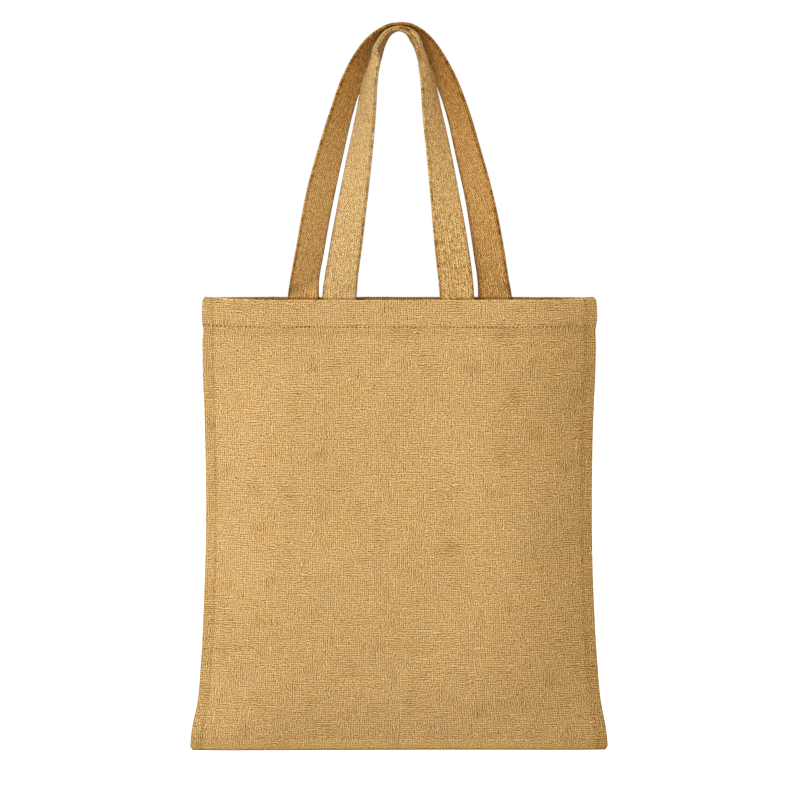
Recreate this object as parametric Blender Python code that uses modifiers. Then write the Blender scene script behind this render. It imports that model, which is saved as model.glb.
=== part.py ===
"""Shopping tote of woven jute, hanging empty by its two webbing handles.

Frame: metres, +Z up, the front of the bag faces -Y.  The origin is the hang point: the
underside of the handles, where both lie over whatever holds the bag up.

Sub-parts, one object each:
    front_panel, back_panel    one sheet of cloth each, with its turned-in hem
    front_handle, back_handle  one length of webbing each, sewn inside the hem

The two panels lie face to face along their side and bottom seams.  Between the seams the
cloth stands off in a soft pillow, and the mouth is a little open.  Each handle leaves the
hem flat and makes a quarter turn on its way up, so that its width runs front to back
where the handles cross at the top.
"""

import math

import bmesh
import bpy
import numpy as np

MM = 0.001

# ---------------------------------------------------------------- driving sizes, in metres
CLOTH = 1.4 * MM            # thickness of the jute cloth
WEBBING = 2.8 * MM          # thickness of the handle webbing
WEBBING_WIDTH = 33.0 * MM
HEM_GAP = 0.4 * MM          # air between the two layers of a folded hem
SEWN_GAP = 0.3 * MM         # air between the two panels in their seams
HANDLE_GAP = 0.45 * MM      # air between a handle's end and the hem it is sewn to

BAG_HEIGHT = 438.7 * MM     # bottom edge to rim
BOTTOM_Z = -691.6 * MM      # height of the bottom edge, seen from the hang point
HEM_DEPTH = 28.0 * MM       # cloth turned in at the mouth
HEM_STEP = 9.0 * MM         # run over which the cloth steps out to pass the hem's fold

NOMINAL_HALF_WIDTH = 191.0 * MM
SIDE_SEAM = 10.0 * MM       # seam allowance at each side
BOTTOM_SEAM = 12.0 * MM
SIDE_CURVE = 105.0 * MM     # reach of the pillow's rounding in from a side seam
MOUTH_CURVE = 72.0 * MM     # the same at the mouth, where the hem is stiffer
BOTTOM_CURVE = 130.0 * MM
BOTTOM_CORNER = 5.5 * MM    # corner radii
TOP_CORNER = 4.0 * MM

BOTTOM_LIFT = 0.5 * MM      # the bottom edge is this much higher at its middle
FRONT_SAG = 1.9 * MM        # the front rim is this much lower between its ends
BACK_SAG = 0.5 * MM
SEAM_LEAN = 2.2 * MM        # the side seams lean back by this much at their outer edge

FOLD_STEPS = 6              # facets round the hem's fold
WEB_STEPS = 6               # facets across a handle
TAIL_STATIONS = 3           # sections along the end of a handle, inside the hem
FREE_STATIONS = 56          # sections along a handle from rim to rim
CROWDING = 0.72             # 0 to 1: how much the sections crowd at the rims and at the top
FRONT_FREE = (2.0 * MM, 14.0 * MM)  # the front handle lies flat up to this height above the
                                    # rim, and then takes its own turn over this run
BACK_FREE = (0.0, 8.0 * MM)         # the same for the back handle

FRONT = -1.0
BACK = 1.0

# Half widths of the bag by height above its bottom edge, all in mm.
OUTLINE_COLUMNS = ("height", "left", "right")
OUTLINE = (
    (0.0, 202.9, 202.2),
    (20.0, 201.0, 200.2),
    (47.0, 195.5, 195.0),
    (88.0, 191.8, 190.9),
    (146.0, 188.6, 187.4),
    (223.0, 186.2, 185.3),
    (301.0, 186.6, 185.8),
    (377.0, 188.8, 188.1),
    (398.0, 188.9, 188.2),
    (407.0, 188.0, 187.7),
    (416.0, 189.2, 189.1),
    (426.0, 189.1, 189.2),
    (439.0, 188.5, 188.0),
)

# How far each panel stands off the seams by height, all in mm.
BELLY_COLUMNS = ("height", "front", "back")
BELLY = (
    (0.0, 25.0, 22.0),
    (140.0, 25.0, 22.0),
    (240.0, 23.0, 20.5),
    (330.0, 18.5, 17.0),
    (400.0, 15.0, 14.5),
    (439.0, 14.0, 13.5),
)

# Soft troughs (depth above zero) and ridges (below zero) in a panel, in mm and degrees:
# the middle of the fold, its half length and half breadth, and its angle from level.
FOLD_COLUMNS = ("x", "height", "length", "breadth", "angle", "depth")
FRONT_FOLDS = (
    (28.0, 372.0, 60.0, 24.0, 78.0, 1.5),
    (-96.0, 330.0, 95.0, 26.0, 96.0, -1.3),
    (-70.0, 226.0, 80.0, 24.0, 58.0, 1.6),
    (52.0, 232.0, 70.0, 26.0, 112.0, 1.5),
    (104.0, 300.0, 110.0, 22.0, 84.0, 1.4),
    (-118.0, 92.0, 90.0, 22.0, 40.0, 1.9),
    (112.0, 96.0, 95.0, 24.0, 138.0, 2.2),
    (-20.0, 84.0, 85.0, 22.0, 8.0, 1.3),
)
BACK_FOLDS = (
    (-60.0, 356.0, 80.0, 26.0, 82.0, 1.8),
    (74.0, 340.0, 90.0, 24.0, 100.0, 1.6),
    (20.0, 236.0, 90.0, 30.0, 64.0, 1.8),
    (-110.0, 190.0, 100.0, 26.0, 104.0, -1.5),
    (118.0, 88.0, 90.0, 24.0, 136.0, 2.3),
    (-112.0, 98.0, 95.0, 22.0, 42.0, 2.0),
    (10.0, 92.0, 80.0, 24.0, 172.0, 1.5),
)

# Path of each handle's middle, from its left end to its right end, in mm and degrees.
# turn is 0 where the webbing faces the front and 90 where its width runs front to back;
# cup is the angle through which its cross-section is bent.
HANDLE_COLUMNS = ("x", "y", "z", "turn", "cup")
FRONT_HANDLE = (
    (-57.5, -12.5, -285.0, 0.0, 0.0),
    (-57.5, -12.5, -254.0, 0.0, 0.0),
    (-56.2, -12.4, -240.0, 12.0, 0.0),
    (-51.6, -12.0, -208.0, 22.0, 0.0),
    (-44.4, -10.6, -160.0, 34.0, 4.0),
    (-37.3, -9.0, -112.5, 46.5, 8.0),
    (-32.2, -7.6, -74.5, 58.0, 14.0),
    (-29.4, -6.8, -46.0, 66.0, 26.0),
    (-28.2, -6.4, -36.0, 74.0, 50.0),
    (-26.6, -6.0, -27.0, 93.0, 104.0),
    (-24.0, -5.8, -18.0, 101.0, 84.0),
    (-19.6, -5.6, -9.0, 98.0, 70.0),
    (-11.6, -5.4, 0.4, 94.0, 50.0),
    (-1.0, -5.4, 3.7, 90.0, 32.0),
    (8.6, -5.4, 2.4, 92.0, 62.0),
    (16.8, -5.6, -3.8, 97.0, 96.0),
    (19.6, -5.7, -9.4, 95.0, 92.0),
    (22.2, -5.8, -18.0, 93.0, 84.0),
    (25.8, -6.0, -27.0, 91.0, 94.0),
    (27.8, -6.4, -37.0, 72.0, 44.0),
    (28.8, -6.8, -47.0, 67.0, 32.0),
    (31.6, -7.6, -74.5, 57.5, 14.0),
    (37.4, -9.0, -112.5, 46.5, 8.0),
    (43.9, -10.6, -160.0, 32.0, 4.0),
    (50.1, -12.0, -208.0, 12.0, 0.0),
    (54.0, -12.4, -240.0, 1.0, 0.0),
    (55.0, -12.5, -254.0, 0.0, 0.0),
    (55.0, -12.5, -285.0, 0.0, 0.0),
)
BACK_HANDLE = (
    (-93.0, 12.0, -285.0, 0.0, 0.0),
    (-93.0, 12.0, -256.0, 6.0, 0.0),
    (-91.6, 11.6, -242.0, 33.0, 0.0),
    (-85.8, 10.8, -208.0, 36.5, 0.0),
    (-77.0, 9.8, -160.0, 36.5, 0.0),
    (-65.6, 9.0, -112.5, 44.0, 4.0),
    (-55.2, 8.4, -74.5, 52.0, 8.0),
    (-45.4, 7.8, -46.0, 55.0, 8.0),
    (-35.4, 7.4, -26.0, 58.0, 8.0),
    (-27.0, 7.0, -12.6, 64.0, 8.0),
    (-17.4, 6.8, -1.4, 75.0, 8.0),
    (-9.4, 6.6, 5.2, 86.0, 6.0),
    (0.0, 6.6, 7.4, 90.0, 6.0),
    (9.8, 6.6, 6.0, 87.0, 6.0),
    (18.0, 6.8, -0.8, 76.0, 8.0),
    (26.4, 7.0, -12.2, 64.0, 8.0),
    (34.6, 7.4, -26.0, 58.0, 8.0),
    (44.8, 7.8, -46.0, 55.0, 8.0),
    (55.4, 8.4, -74.5, 51.5, 8.0),
    (65.4, 9.0, -112.5, 44.0, 4.0),
    (77.0, 9.8, -160.0, 35.5, 0.0),
    (85.6, 10.8, -208.0, 28.0, 0.0),
    (90.6, 11.6, -242.0, 22.0, 0.0),
    (92.0, 12.0, -256.0, 4.0, 0.0),
    (92.0, 12.0, -285.0, 0.0, 0.0),
)

# Grid of a panel: distances in from a side edge, and heights above the bottom edge, in mm.
SIDE_INSETS = (0.0, 5.0, 10.0, 15.0, 22.0, 31.0, 42.0, 54.0, 68.0, 82.0, 98.0, 115.0, 132.0,
               150.0, 170.0)
PANEL_HEIGHTS = (0.0, 0.8, 2.4, 5.5, 8.6, 12.0, 18.0, 26.0, 36.0, 48.0, 63.0, 82.0, 105.0,
                 134.0, 166.0, 202.0, 240.0, 280.0, 318.0, 352.0, 380.0, 398.0)


# ---------------------------------------------------------------- small helpers
def smooth_table(rows, column_names, column, key):
    """Value of one column at `key`, on a smooth curve through the rows (first column is the key)."""
    keys = np.array([row[0] for row in rows]) * MM
    values = np.array([row[column_names.index(column)] for row in rows]) * MM
    return hermite(keys, values, key)


def hermite(keys, values, key):
    """Smooth curve through (keys, values), without overshoot past the end rows."""
    key = min(max(key, keys[0]), keys[-1])
    slopes = np.gradient(values, keys)
    row = min(int(np.searchsorted(keys, key, side="right")) - 1, len(keys) - 2)
    span = keys[row + 1] - keys[row]
    t = (key - keys[row]) / span
    start = (2 * t**3 - 3 * t**2 + 1) * values[row] + (t**3 - 2 * t**2 + t) * span * slopes[row]
    end = (3 * t**2 - 2 * t**3) * values[row + 1] + (t**3 - t**2) * span * slopes[row + 1]
    return float(start + end)


def ease(value):
    """Smooth step from 0 to 1."""
    value = min(max(value, 0.0), 1.0)
    return value * value * (3.0 - 2.0 * value)


def round_rise(value):
    """Quarter-round rise from 0 to 1: steep at first, level at 1."""
    value = min(max(value, 0.0), 1.0)
    return 1.0 - (1.0 - value) ** 2


def corner_cut(distance, radius):
    """How far a rounded corner pulls an edge in, at a distance from the corner's other edge."""
    if distance >= radius:
        return 0.0
    return radius - math.sqrt(max(radius**2 - (radius - distance) ** 2, 0.0))


# ---------------------------------------------------------------- the bag's shape
def half_width(side_sign, height):
    """Half width of the bag at a height, on its left (-1) or right (+1)."""
    column = "left" if side_sign < 0 else "right"
    width = smooth_table(OUTLINE, OUTLINE_COLUMNS, column, height)
    width -= corner_cut(height, BOTTOM_CORNER)
    return width - corner_cut(BAG_HEIGHT - height, TOP_CORNER)


def fold_depth(folds, x, height):
    """Sum of a panel's soft troughs and ridges at one point."""
    total = 0.0
    for row in folds:
        fold = dict(zip(FOLD_COLUMNS, row))
        angle = math.radians(fold["angle"])
        dx = x / MM - fold["x"]
        dh = height / MM - fold["height"]
        along = (dx * math.cos(angle) + dh * math.sin(angle)) / fold["length"]
        across = (dh * math.cos(angle) - dx * math.sin(angle)) / fold["breadth"]
        total += fold["depth"] * math.exp(-along**2 - across**2)
    return total * MM


def seam_plane(x, height):
    """Y of the surface in which the two panels are sewn together: nearly flat, a little wavy."""
    wave = 1.5 * math.sin(2 * math.pi * (height / 0.310 + x / 0.900) + 0.6)
    wave += 0.8 * math.sin(2 * math.pi * (height / 0.145 - x / 0.520) + 2.1)
    edge = abs(x) / NOMINAL_HALF_WIDTH
    return wave * MM + SEAM_LEAN * max(edge - 0.80, 0.0) ** 2 / 0.20**2


def panel_y(side, share, height):
    """Y of a panel's cloth, at the middle of its thickness and apart from the hem's outer layer.

    `share` runs from -1 at the left edge to +1 at the right edge.
    """
    x = share * half_width(share, height)
    inset = (1.0 - abs(share)) * NOMINAL_HALF_WIDTH
    column = "front" if side < 0 else "back"
    belly = smooth_table(BELLY, BELLY_COLUMNS, column, height)
    belly -= fold_depth(FRONT_FOLDS if side < 0 else BACK_FOLDS, x, height)
    reach = SIDE_CURVE + (MOUTH_CURVE - SIDE_CURVE) * ease(height / BAG_HEIGHT * 2.0 - 1.0)
    rise = round_rise((inset - SIDE_SEAM) / reach) * round_rise((height - BOTTOM_SEAM) / BOTTOM_CURVE)
    return seam_plane(x, height) + side * (SEWN_GAP / 2 + CLOTH / 2 + belly * rise)


def level_z(side, share, height):
    """Z of a height above the bottom edge, with the edge's lift and the rim's sag."""
    part = height / BAG_HEIGHT
    lift = BOTTOM_LIFT * (1.0 - share**2) * (1.0 - part)
    sag = (FRONT_SAG if side < 0 else BACK_SAG) * (1.0 - share**6) * part**3
    return BOTTOM_Z + height + lift - sag


def panel_rows():
    """Rows of the panel's sheet, up the outside, over the rim and down the inside of the hem.

    Each row is (height, step), where step is how far the cloth stands out from the hem's
    inner layer.
    """
    outer = CLOTH + HEM_GAP
    bend = outer / 2
    fold_height = BAG_HEIGHT - bend - CLOTH / 2
    hem_end = BAG_HEIGHT - HEM_DEPTH
    rows = []
    for height in [value * MM for value in PANEL_HEIGHTS]:
        rows.append((height, outer * ease((height - hem_end + HEM_STEP) / HEM_STEP)))
    hem_levels = [hem_end + (fold_height - hem_end) * part for part in (0.0, 0.33, 0.67, 1.0)]
    rows += [(height, outer) for height in hem_levels]
    for step in range(1, FOLD_STEPS):
        angle = math.pi * step / FOLD_STEPS
        rows.append((fold_height + bend * math.sin(angle), bend * (1.0 + math.cos(angle))))
    rows += [(height, 0.0) for height in reversed(hem_levels)]
    return rows


def panel_columns():
    """Shares of the width at which the panel's columns stand, -1 at the left to +1 at the right."""
    right = [1.0 - inset * MM / NOMINAL_HALF_WIDTH for inset in SIDE_INSETS]
    return [-share for share in right] + [0.0] + right[::-1]


# ---------------------------------------------------------------- the handles' shape
def handle_path(rows):
    """Smooth path through a handle's rows, as a function of the distance along it."""
    table = dict(zip(HANDLE_COLUMNS, np.array(rows).T))
    points = np.column_stack([table["x"], table["y"], table["z"]]) * MM
    steps = np.linalg.norm(np.diff(points, axis=0), axis=1)
    distances = np.concatenate([[0.0], np.cumsum(steps)])

    def at(distance):
        value = {name: hermite(distances, table[name], distance) for name in HANDLE_COLUMNS}
        centre = np.array([value["x"], value["y"], value["z"]]) * MM
        return centre, math.radians(value["turn"]), math.radians(value["cup"])

    return at, distances[-1]


def handle_stations(length, tail):
    """Distances along a handle for its sections, closer together at the rims and at its top."""
    spread = np.linspace(-1.0, 1.0, FREE_STATIONS)
    spread = spread - CROWDING * np.sin(2 * math.pi * spread) / (2 * math.pi)
    free = length / 2 + spread * (length / 2 - tail)
    left_tail = np.linspace(0.0, tail, TAIL_STATIONS, endpoint=False)
    return np.concatenate([left_tail, free, length - left_tail[::-1]])


def hem_side_y(side, x, height):
    """Y of the middle of a handle's thickness where it lies flat against the inside of the hem."""
    share = x / half_width(x, height)
    return panel_y(side, share, height) - side * (CLOTH / 2 + HANDLE_GAP + WEBBING / 2)


def handle_grid(side, rows, free_range):
    """Points of a handle's middle surface: one list of points across for each section along."""
    free_start, free_run = free_range
    at, length = handle_path(rows)
    rim_z = BOTTOM_Z + BAG_HEIGHT
    nudge = 0.5 * MM
    grid = []
    tail = rim_z - rows[0][2] * MM
    for distance in handle_stations(length, tail):
        centre, turn, cup = at(distance)
        along = at(min(distance + nudge, length))[0] - at(max(distance - nudge, 0.0))[0]
        along /= np.linalg.norm(along)
        deep = np.array([0.0, 1.0, 0.0]) - along * along[1]
        deep /= np.linalg.norm(deep)
        upward = np.cross(along, deep)
        width_way = math.sin(turn) * deep - side * math.cos(turn) * upward
        crown_way = math.sin(turn) * upward + side * math.cos(turn) * deep
        section = []
        for step in range(WEB_STEPS + 1):
            across = WEBBING_WIDTH * (step / WEB_STEPS - 0.5)
            point = centre + bent_section(across, cup, width_way, crown_way)
            height = min(point[2] - BOTTOM_Z, BAG_HEIGHT)
            free = ease((point[2] - rim_z - free_start) / free_run)
            point[1] += (1.0 - free) * (hem_side_y(side, point[0], height) - point[1])
            section.append(point)
        grid.append(section)
    return grid


def bent_section(across, cup, width_way, crown_way):
    """Offset from a handle's middle to a point across it, on a section bent through `cup`."""
    if cup < 0.01:
        return across * width_way
    radius = WEBBING_WIDTH / cup
    bend = across / radius
    return radius * math.sin(bend) * width_way - radius * (1.0 - math.cos(bend)) * crown_way


# ---------------------------------------------------------------- building
def clear_scene():
    """Remove the objects that a new Blender file starts with."""
    for obj in list(bpy.data.objects):
        bpy.data.objects.remove(obj, do_unlink=True)


def make_material(name, colour, roughness):
    """A plain cloth material."""
    material = bpy.data.materials.new(name)
    material.use_nodes = True
    shader = material.node_tree.nodes["Principled BSDF"]
    shader.inputs["Base Color"].default_value = (*colour, 1.0)
    shader.inputs["Roughness"].default_value = roughness
    shader.inputs["Metallic"].default_value = 0.0
    return material


def make_sheet(name, points, thickness, material, collection):
    """A closed sheet: a grid laid through `points`, thickened evenly to both sides."""
    row_count = len(points)
    column_count = len(points[0])
    bm = bmesh.new()
    bmesh.ops.create_grid(bm, x_segments=column_count - 1, y_segments=row_count - 1, size=0.5)
    for vert in bm.verts:
        column = round((vert.co.x + 0.5) * (column_count - 1))
        row = round((vert.co.y + 0.5) * (row_count - 1))
        vert.co = points[row][column]
    mesh = bpy.data.meshes.new(name)
    bm.to_mesh(mesh)
    bm.free()
    mesh.shade_smooth()
    obj = bpy.data.objects.new(name, mesh)
    obj.data.materials.append(material)
    collection.objects.link(obj)
    solidify = obj.modifiers.new("thickness", "SOLIDIFY")
    solidify.thickness = thickness
    solidify.offset = 0.0
    solidify.use_even_offset = True
    return obj


def make_panel(name, side, material, collection):
    """One panel of the bag, with its hem."""
    points = []
    for height, step in panel_rows():
        row = []
        for share in panel_columns():
            x = share * half_width(share, height)
            row.append((x, panel_y(side, share, height) + side * step, level_z(side, share, height)))
        points.append(row)
    return make_sheet(name, points, CLOTH, material, collection)


def make_handle(name, side, rows, free_range, material, collection):
    """One handle of webbing."""
    return make_sheet(name, handle_grid(side, rows, free_range), WEBBING, material, collection)


def main():
    clear_scene()
    collection = bpy.data.collections.new("shopping_tote")
    bpy.context.scene.collection.children.link(collection)
    cloth = make_material("jute_cloth", (0.60, 0.38, 0.16), 0.9)
    webbing = make_material("jute_webbing", (0.62, 0.42, 0.20), 0.85)
    make_panel("front_panel", FRONT, cloth, collection)
    make_panel("back_panel", BACK, cloth, collection)
    make_handle("front_handle", FRONT, FRONT_HANDLE, FRONT_FREE, webbing, collection)
    make_handle("back_handle", BACK, BACK_HANDLE, BACK_FREE, webbing, collection)


main()
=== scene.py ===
"""Looks of a shopping tote of woven jute, hanging empty by its two webbing handles.

Frame: metres, +Z up, the front of the bag faces -Y.  The origin is the hang point: the
underside of the handles, where both lie over whatever holds the bag up.

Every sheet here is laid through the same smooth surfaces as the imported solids, on a finer
grid and with what a step closer shows: uneven threads, sewn grooves, puckers, raised
twill and rounded edges.  Stitches and loose fibres are grown by Geometry Nodes.
"""

from __future__ import annotations

import logging
import math
from dataclasses import dataclass
from enum import Enum
from functools import cached_property

import bpy
import numpy as np
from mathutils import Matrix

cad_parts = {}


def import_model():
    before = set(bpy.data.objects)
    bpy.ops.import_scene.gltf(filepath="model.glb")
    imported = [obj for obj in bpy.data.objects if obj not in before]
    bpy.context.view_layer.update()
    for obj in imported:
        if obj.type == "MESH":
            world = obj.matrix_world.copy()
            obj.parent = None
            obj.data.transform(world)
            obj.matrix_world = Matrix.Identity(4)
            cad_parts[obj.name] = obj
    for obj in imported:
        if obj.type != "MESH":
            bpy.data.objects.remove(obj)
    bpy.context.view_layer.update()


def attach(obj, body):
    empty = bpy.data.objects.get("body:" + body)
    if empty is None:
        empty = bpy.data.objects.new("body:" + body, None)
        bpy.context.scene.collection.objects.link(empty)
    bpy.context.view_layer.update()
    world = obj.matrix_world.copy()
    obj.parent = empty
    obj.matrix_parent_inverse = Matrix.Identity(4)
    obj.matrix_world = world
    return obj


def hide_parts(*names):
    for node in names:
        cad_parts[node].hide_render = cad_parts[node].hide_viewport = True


Array = np.ndarray
Socket = bpy.types.NodeSocket
Material = bpy.types.Material

LOG = logging.getLogger("tote")
MM = 0.001
CLOTH_MAP = "cloth"  # the map that follows each sheet, in metres across and along it
TONE = "tone"  # how light or dark a place on a sheet is, 1 being plain: its stitch lines and soft patches, and painted light and shade
SHADES = (-115.0, -85.0, -60.0, -40.0, -20.0, 0.0, 20.0, 40.0, 62.0)
TONE_STEPS = 105.0  # steps of colour from a tone of 0 to a tone of 1
BOTTOM_HOLES = 0.15  # how dark the needle holes show along the bottom seam
HEM_HOLES = 1.7  # and along the hem


# ---------------------------------------------------------------- numbers in arrays
def smooth_curve(keys: Array, values: Array, key: Array) -> Array:
    """Read a smooth curve through table rows.

    Args:
        keys: The rows' keys, rising.
        values: The rows' values.
        key: Where to read the curve; past the end rows it stays level.

    Returns:
        The curve's value at each key.
    """
    key = np.clip(key, keys[0], keys[-1])
    slopes = np.gradient(values, keys)
    row = np.clip(np.searchsorted(keys, key, side="right") - 1, 0, len(keys) - 2)
    span = keys[row + 1] - keys[row]
    t = (key - keys[row]) / span
    start = (2 * t**3 - 3 * t**2 + 1) * values[row] + (t**3 - 2 * t**2 + t) * span * slopes[row]
    end = (3 * t**2 - 2 * t**3) * values[row + 1] + (t**3 - t**2) * span * slopes[row + 1]
    return start + end


def ease(value: Array) -> Array:
    """Smooth step from 0 to 1."""
    value = np.clip(value, 0.0, 1.0)
    return value * value * (3.0 - 2.0 * value)


def ramp(value: Array, start: float, run: float) -> Array:
    """Smooth step from 0 to 1 that starts at one value and takes a run."""
    return ease((value - start) / run)


def round_rise(value: Array) -> Array:
    """Quarter-round rise from 0 to 1: steep at first, level at 1."""
    return 1.0 - (1.0 - np.clip(value, 0.0, 1.0)) ** 2


def corner_cut(distance: Array, radius: float) -> Array:
    """How far a rounded corner pulls an edge in, at a distance from the corner's other edge."""
    inside = np.clip(radius - distance, 0.0, radius)
    return radius - np.sqrt(np.maximum(radius**2 - inside**2, 0.0))


def bell(distance: Array, reach: float) -> Array:
    """Soft bump: 1 at no distance, nearly 0 at twice the reach."""
    return np.exp(-((distance / reach) ** 2))


def soft_noise(across: Array, along: Array, seed: int) -> Array:
    """Smooth random surface with one free value at each whole number.

    Args:
        across: First coordinate, in steps of the noise.
        along: Second coordinate, in the same steps.
        seed: Fixed seed of the random values.

    Returns:
        Values between -1 and 1.
    """
    size = 512
    grid = np.random.default_rng(seed).uniform(-1.0, 1.0, (size, size))
    column = np.floor(across).astype(int)
    row = np.floor(along).astype(int)
    s = ease(across - column)
    t = ease(along - row)
    near = grid[column % size, row % size] * (1 - s) + grid[(column + 1) % size, row % size] * s
    far_row = (row + 1) % size
    far = grid[column % size, far_row] * (1 - s) + grid[(column + 1) % size, far_row] * s
    return near * (1 - t) + far * t


def spaced(start: float, end: float, step: float) -> Array:
    """Even spacing from the start up to, but without, the end."""
    return np.linspace(start, end, max(round((end - start) / step), 1), endpoint=False)


def unit(vectors: Array) -> Array:
    """Vectors of length 1 in the same directions."""
    return vectors / np.maximum(np.linalg.norm(vectors, axis=-1, keepdims=True), 1e-12)


def screen_colour(step: float) -> float:
    """Part of a colour, from steps of 255 as on a screen to an amount of light."""
    share = min(max(step / 255.0, 0.0), 1.0)
    return share / 12.92 if share <= 0.04045 else ((share + 0.055) / 1.055) ** 2.4


# ---------------------------------------------------------------- sheets
@dataclass
class SheetGrid:
    """The middle surface of a sheet, in rows and columns, and what goes with each point."""

    points: Array
    across: Array
    along: Array
    tone: Array
    half: float
    edge_steps: int = 3
    proud: Array | float = 0.0  # how far both faces stand proud of the plain thickness

    def normals(self) -> Array:
        """Directions square to the sheet at each point."""
        return unit(np.cross(np.gradient(self.points, axis=1), np.gradient(self.points, axis=0)))

    def rim(self) -> tuple[Array, Array]:
        """Go once round the sheet, bottom row first.

        Returns:
            Rows and columns of the edge points.
        """
        rows, columns = self.points.shape[:2]
        low = [(0, c) for c in range(columns - 1)]
        right = [(r, columns - 1) for r in range(rows - 1)]
        high = [(rows - 1, c) for c in range(columns - 1, 0, -1)]
        left = [(r, 0) for r in range(rows - 1, 0, -1)]
        loop = np.array(low + right + high + left)
        return loop[:, 0], loop[:, 1]

    def build(self, name: str, material: Material) -> bpy.types.Object:
        """Make the closed sheet, with two faces and a round edge.

        Args:
            name: Name of the new object.
            material: Its finish.

        Returns:
            The new object, at the origin.
        """
        normals = self.normals()
        rows, columns = self.points.shape[:2]
        face_count = rows * columns
        rim_rows, rim_columns = self.rim()
        inner_rows = np.clip(rim_rows, 1, rows - 2)
        inner_columns = np.clip(rim_columns, 1, columns - 2)
        edge = self.points[rim_rows, rim_columns]
        outward = unit(edge - self.points[inner_rows, inner_columns])
        square = normals[rim_rows, rim_columns]
        outward = unit(outward - square * np.sum(outward * square, axis=1, keepdims=True))

        map_points = np.stack([self.across, self.along], axis=-1)
        rim_map = map_points[rim_rows, rim_columns]
        map_out = unit(rim_map - map_points[inner_rows, inner_columns])
        thick = normals * (self.half + np.asarray(self.proud)[..., None])
        corners = [self.points + thick, self.points - thick]
        maps = [map_points, map_points]
        tones = [self.tone, self.tone]
        for step in range(1, self.edge_steps + 1):
            angle = math.pi * step / (self.edge_steps + 1)
            corners.append(edge + self.half * (math.cos(angle) * square + math.sin(angle) * outward))
            maps.append(rim_map + map_out * self.half * math.sin(angle))
            tones.append(self.tone[rim_rows, rim_columns])
        verts = np.concatenate([part.reshape(-1, 3) for part in corners])
        places = np.concatenate([part.reshape(-1, 2) for part in maps])
        tone = np.concatenate([part.ravel() for part in tones])

        index = np.arange(face_count).reshape(rows, columns)
        quads = [np.stack([index[:-1, :-1], index[:-1, 1:], index[1:, 1:], index[1:, :-1]], axis=-1)]
        quads.append(quads[0][..., ::-1] + face_count)
        rings = [index[rim_rows, rim_columns]]
        for step in range(self.edge_steps):
            rings.append(2 * face_count + step * len(rim_rows) + np.arange(len(rim_rows)))
        rings.append(rings[0] + face_count)
        for near, far in zip(rings, rings[1:]):
            quads.append(np.stack([near, far, np.roll(far, -1), np.roll(near, -1)], axis=-1))
        faces = np.concatenate([part.reshape(-1, 4) for part in quads])
        return make_mesh(name, verts, faces, places, tone, material)


def add_object(name: str, data: bpy.types.ID) -> bpy.types.Object:
    """Put new data into the scene.

    Args:
        name: Name of the new object.
        data: Its mesh, lamp or camera.

    Returns:
        The new object, at the origin.
    """
    obj = bpy.data.objects.new(name, data)
    bpy.context.scene.collection.objects.link(obj)
    return obj


def make_mesh(name: str, verts: Array, faces: Array, places: Array, tone: Array,
              material: Material) -> bpy.types.Object:
    """Make a smooth mesh object of four-sided faces.

    Args:
        name: Name of the new object.
        verts: Its points.
        faces: Four points for each face.
        places: Each point's place on the cloth's map.
        tone: Each point's tone.
        material: Its finish.

    Returns:
        The new object, at the origin.
    """
    mesh = bpy.data.meshes.new(name)
    mesh.vertices.add(len(verts))
    mesh.vertices.foreach_set("co", verts.astype(np.float32).ravel())
    mesh.loops.add(faces.size)
    mesh.loops.foreach_set("vertex_index", faces.astype(np.int32).ravel())
    mesh.polygons.add(len(faces))
    mesh.polygons.foreach_set("loop_start", np.arange(0, faces.size, 4, dtype=np.int32))
    mesh.update(calc_edges=True)
    layer = mesh.uv_layers.new(name=CLOTH_MAP)
    layer.data.foreach_set("uv", places[faces.ravel()].astype(np.float32).ravel())
    mesh.attributes.new(TONE, "FLOAT", "POINT").data.foreach_set("value", tone.astype(np.float32))
    mesh.validate()
    mesh.shade_smooth()
    mesh.materials.append(material)
    return add_object(name, mesh)


# ---------------------------------------------------------------- writing node trees
class Nodes:
    """A node tree, with a short way to add nodes to it."""

    def __init__(self, tree: bpy.types.NodeTree) -> None:
        """Keep the tree."""
        self.tree = tree

    def feed(self, node: bpy.types.Node, inputs: dict) -> None:
        """Set some of a node's inputs.

        Args:
            node: The node.
            inputs: What goes into its inputs, by name or number: a wire, a socket or a value.
        """
        for key, value in inputs.items():
            if isinstance(value, Wire):
                value = value.socket
            if isinstance(value, Socket):
                self.tree.links.new(value, node.inputs[key])
            else:
                node.inputs[key].default_value = value

    def add(self, kind: str, inputs: dict | None = None, **settings: str) -> bpy.types.Node:
        """Add a node.

        Args:
            kind: Blender's name for the node.
            inputs: What goes into its inputs, as feed() takes it.
            settings: The node's own settings.

        Returns:
            The node.
        """
        node = self.tree.nodes.new(kind)
        for setting, value in settings.items():
            setattr(node, setting, value)
        self.feed(node, inputs or {})
        return node

    def vector(self, x: Wire | float, y: Wire | float, z: Wire | float = 0.0) -> Socket:
        """Join three numbers into one vector."""
        return self.add("ShaderNodeCombineXYZ", {0: x, 1: y, 2: z}).outputs[0]

    def parts(self, vector: Socket) -> list[Wire]:
        """Take a vector apart into its three numbers."""
        return [Wire(self, part) for part in self.add("ShaderNodeSeparateXYZ", {0: vector}).outputs]

    def blend(self, share: Wire | Socket, low: tuple | Socket, high: tuple | Socket) -> Socket:
        """Mix two colours, the low one where the share is 0 and the high one where it is 1."""
        return self.add("ShaderNodeMix", {"Factor": share, 6: low, 7: high}, data_type="RGBA").outputs[2]


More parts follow.
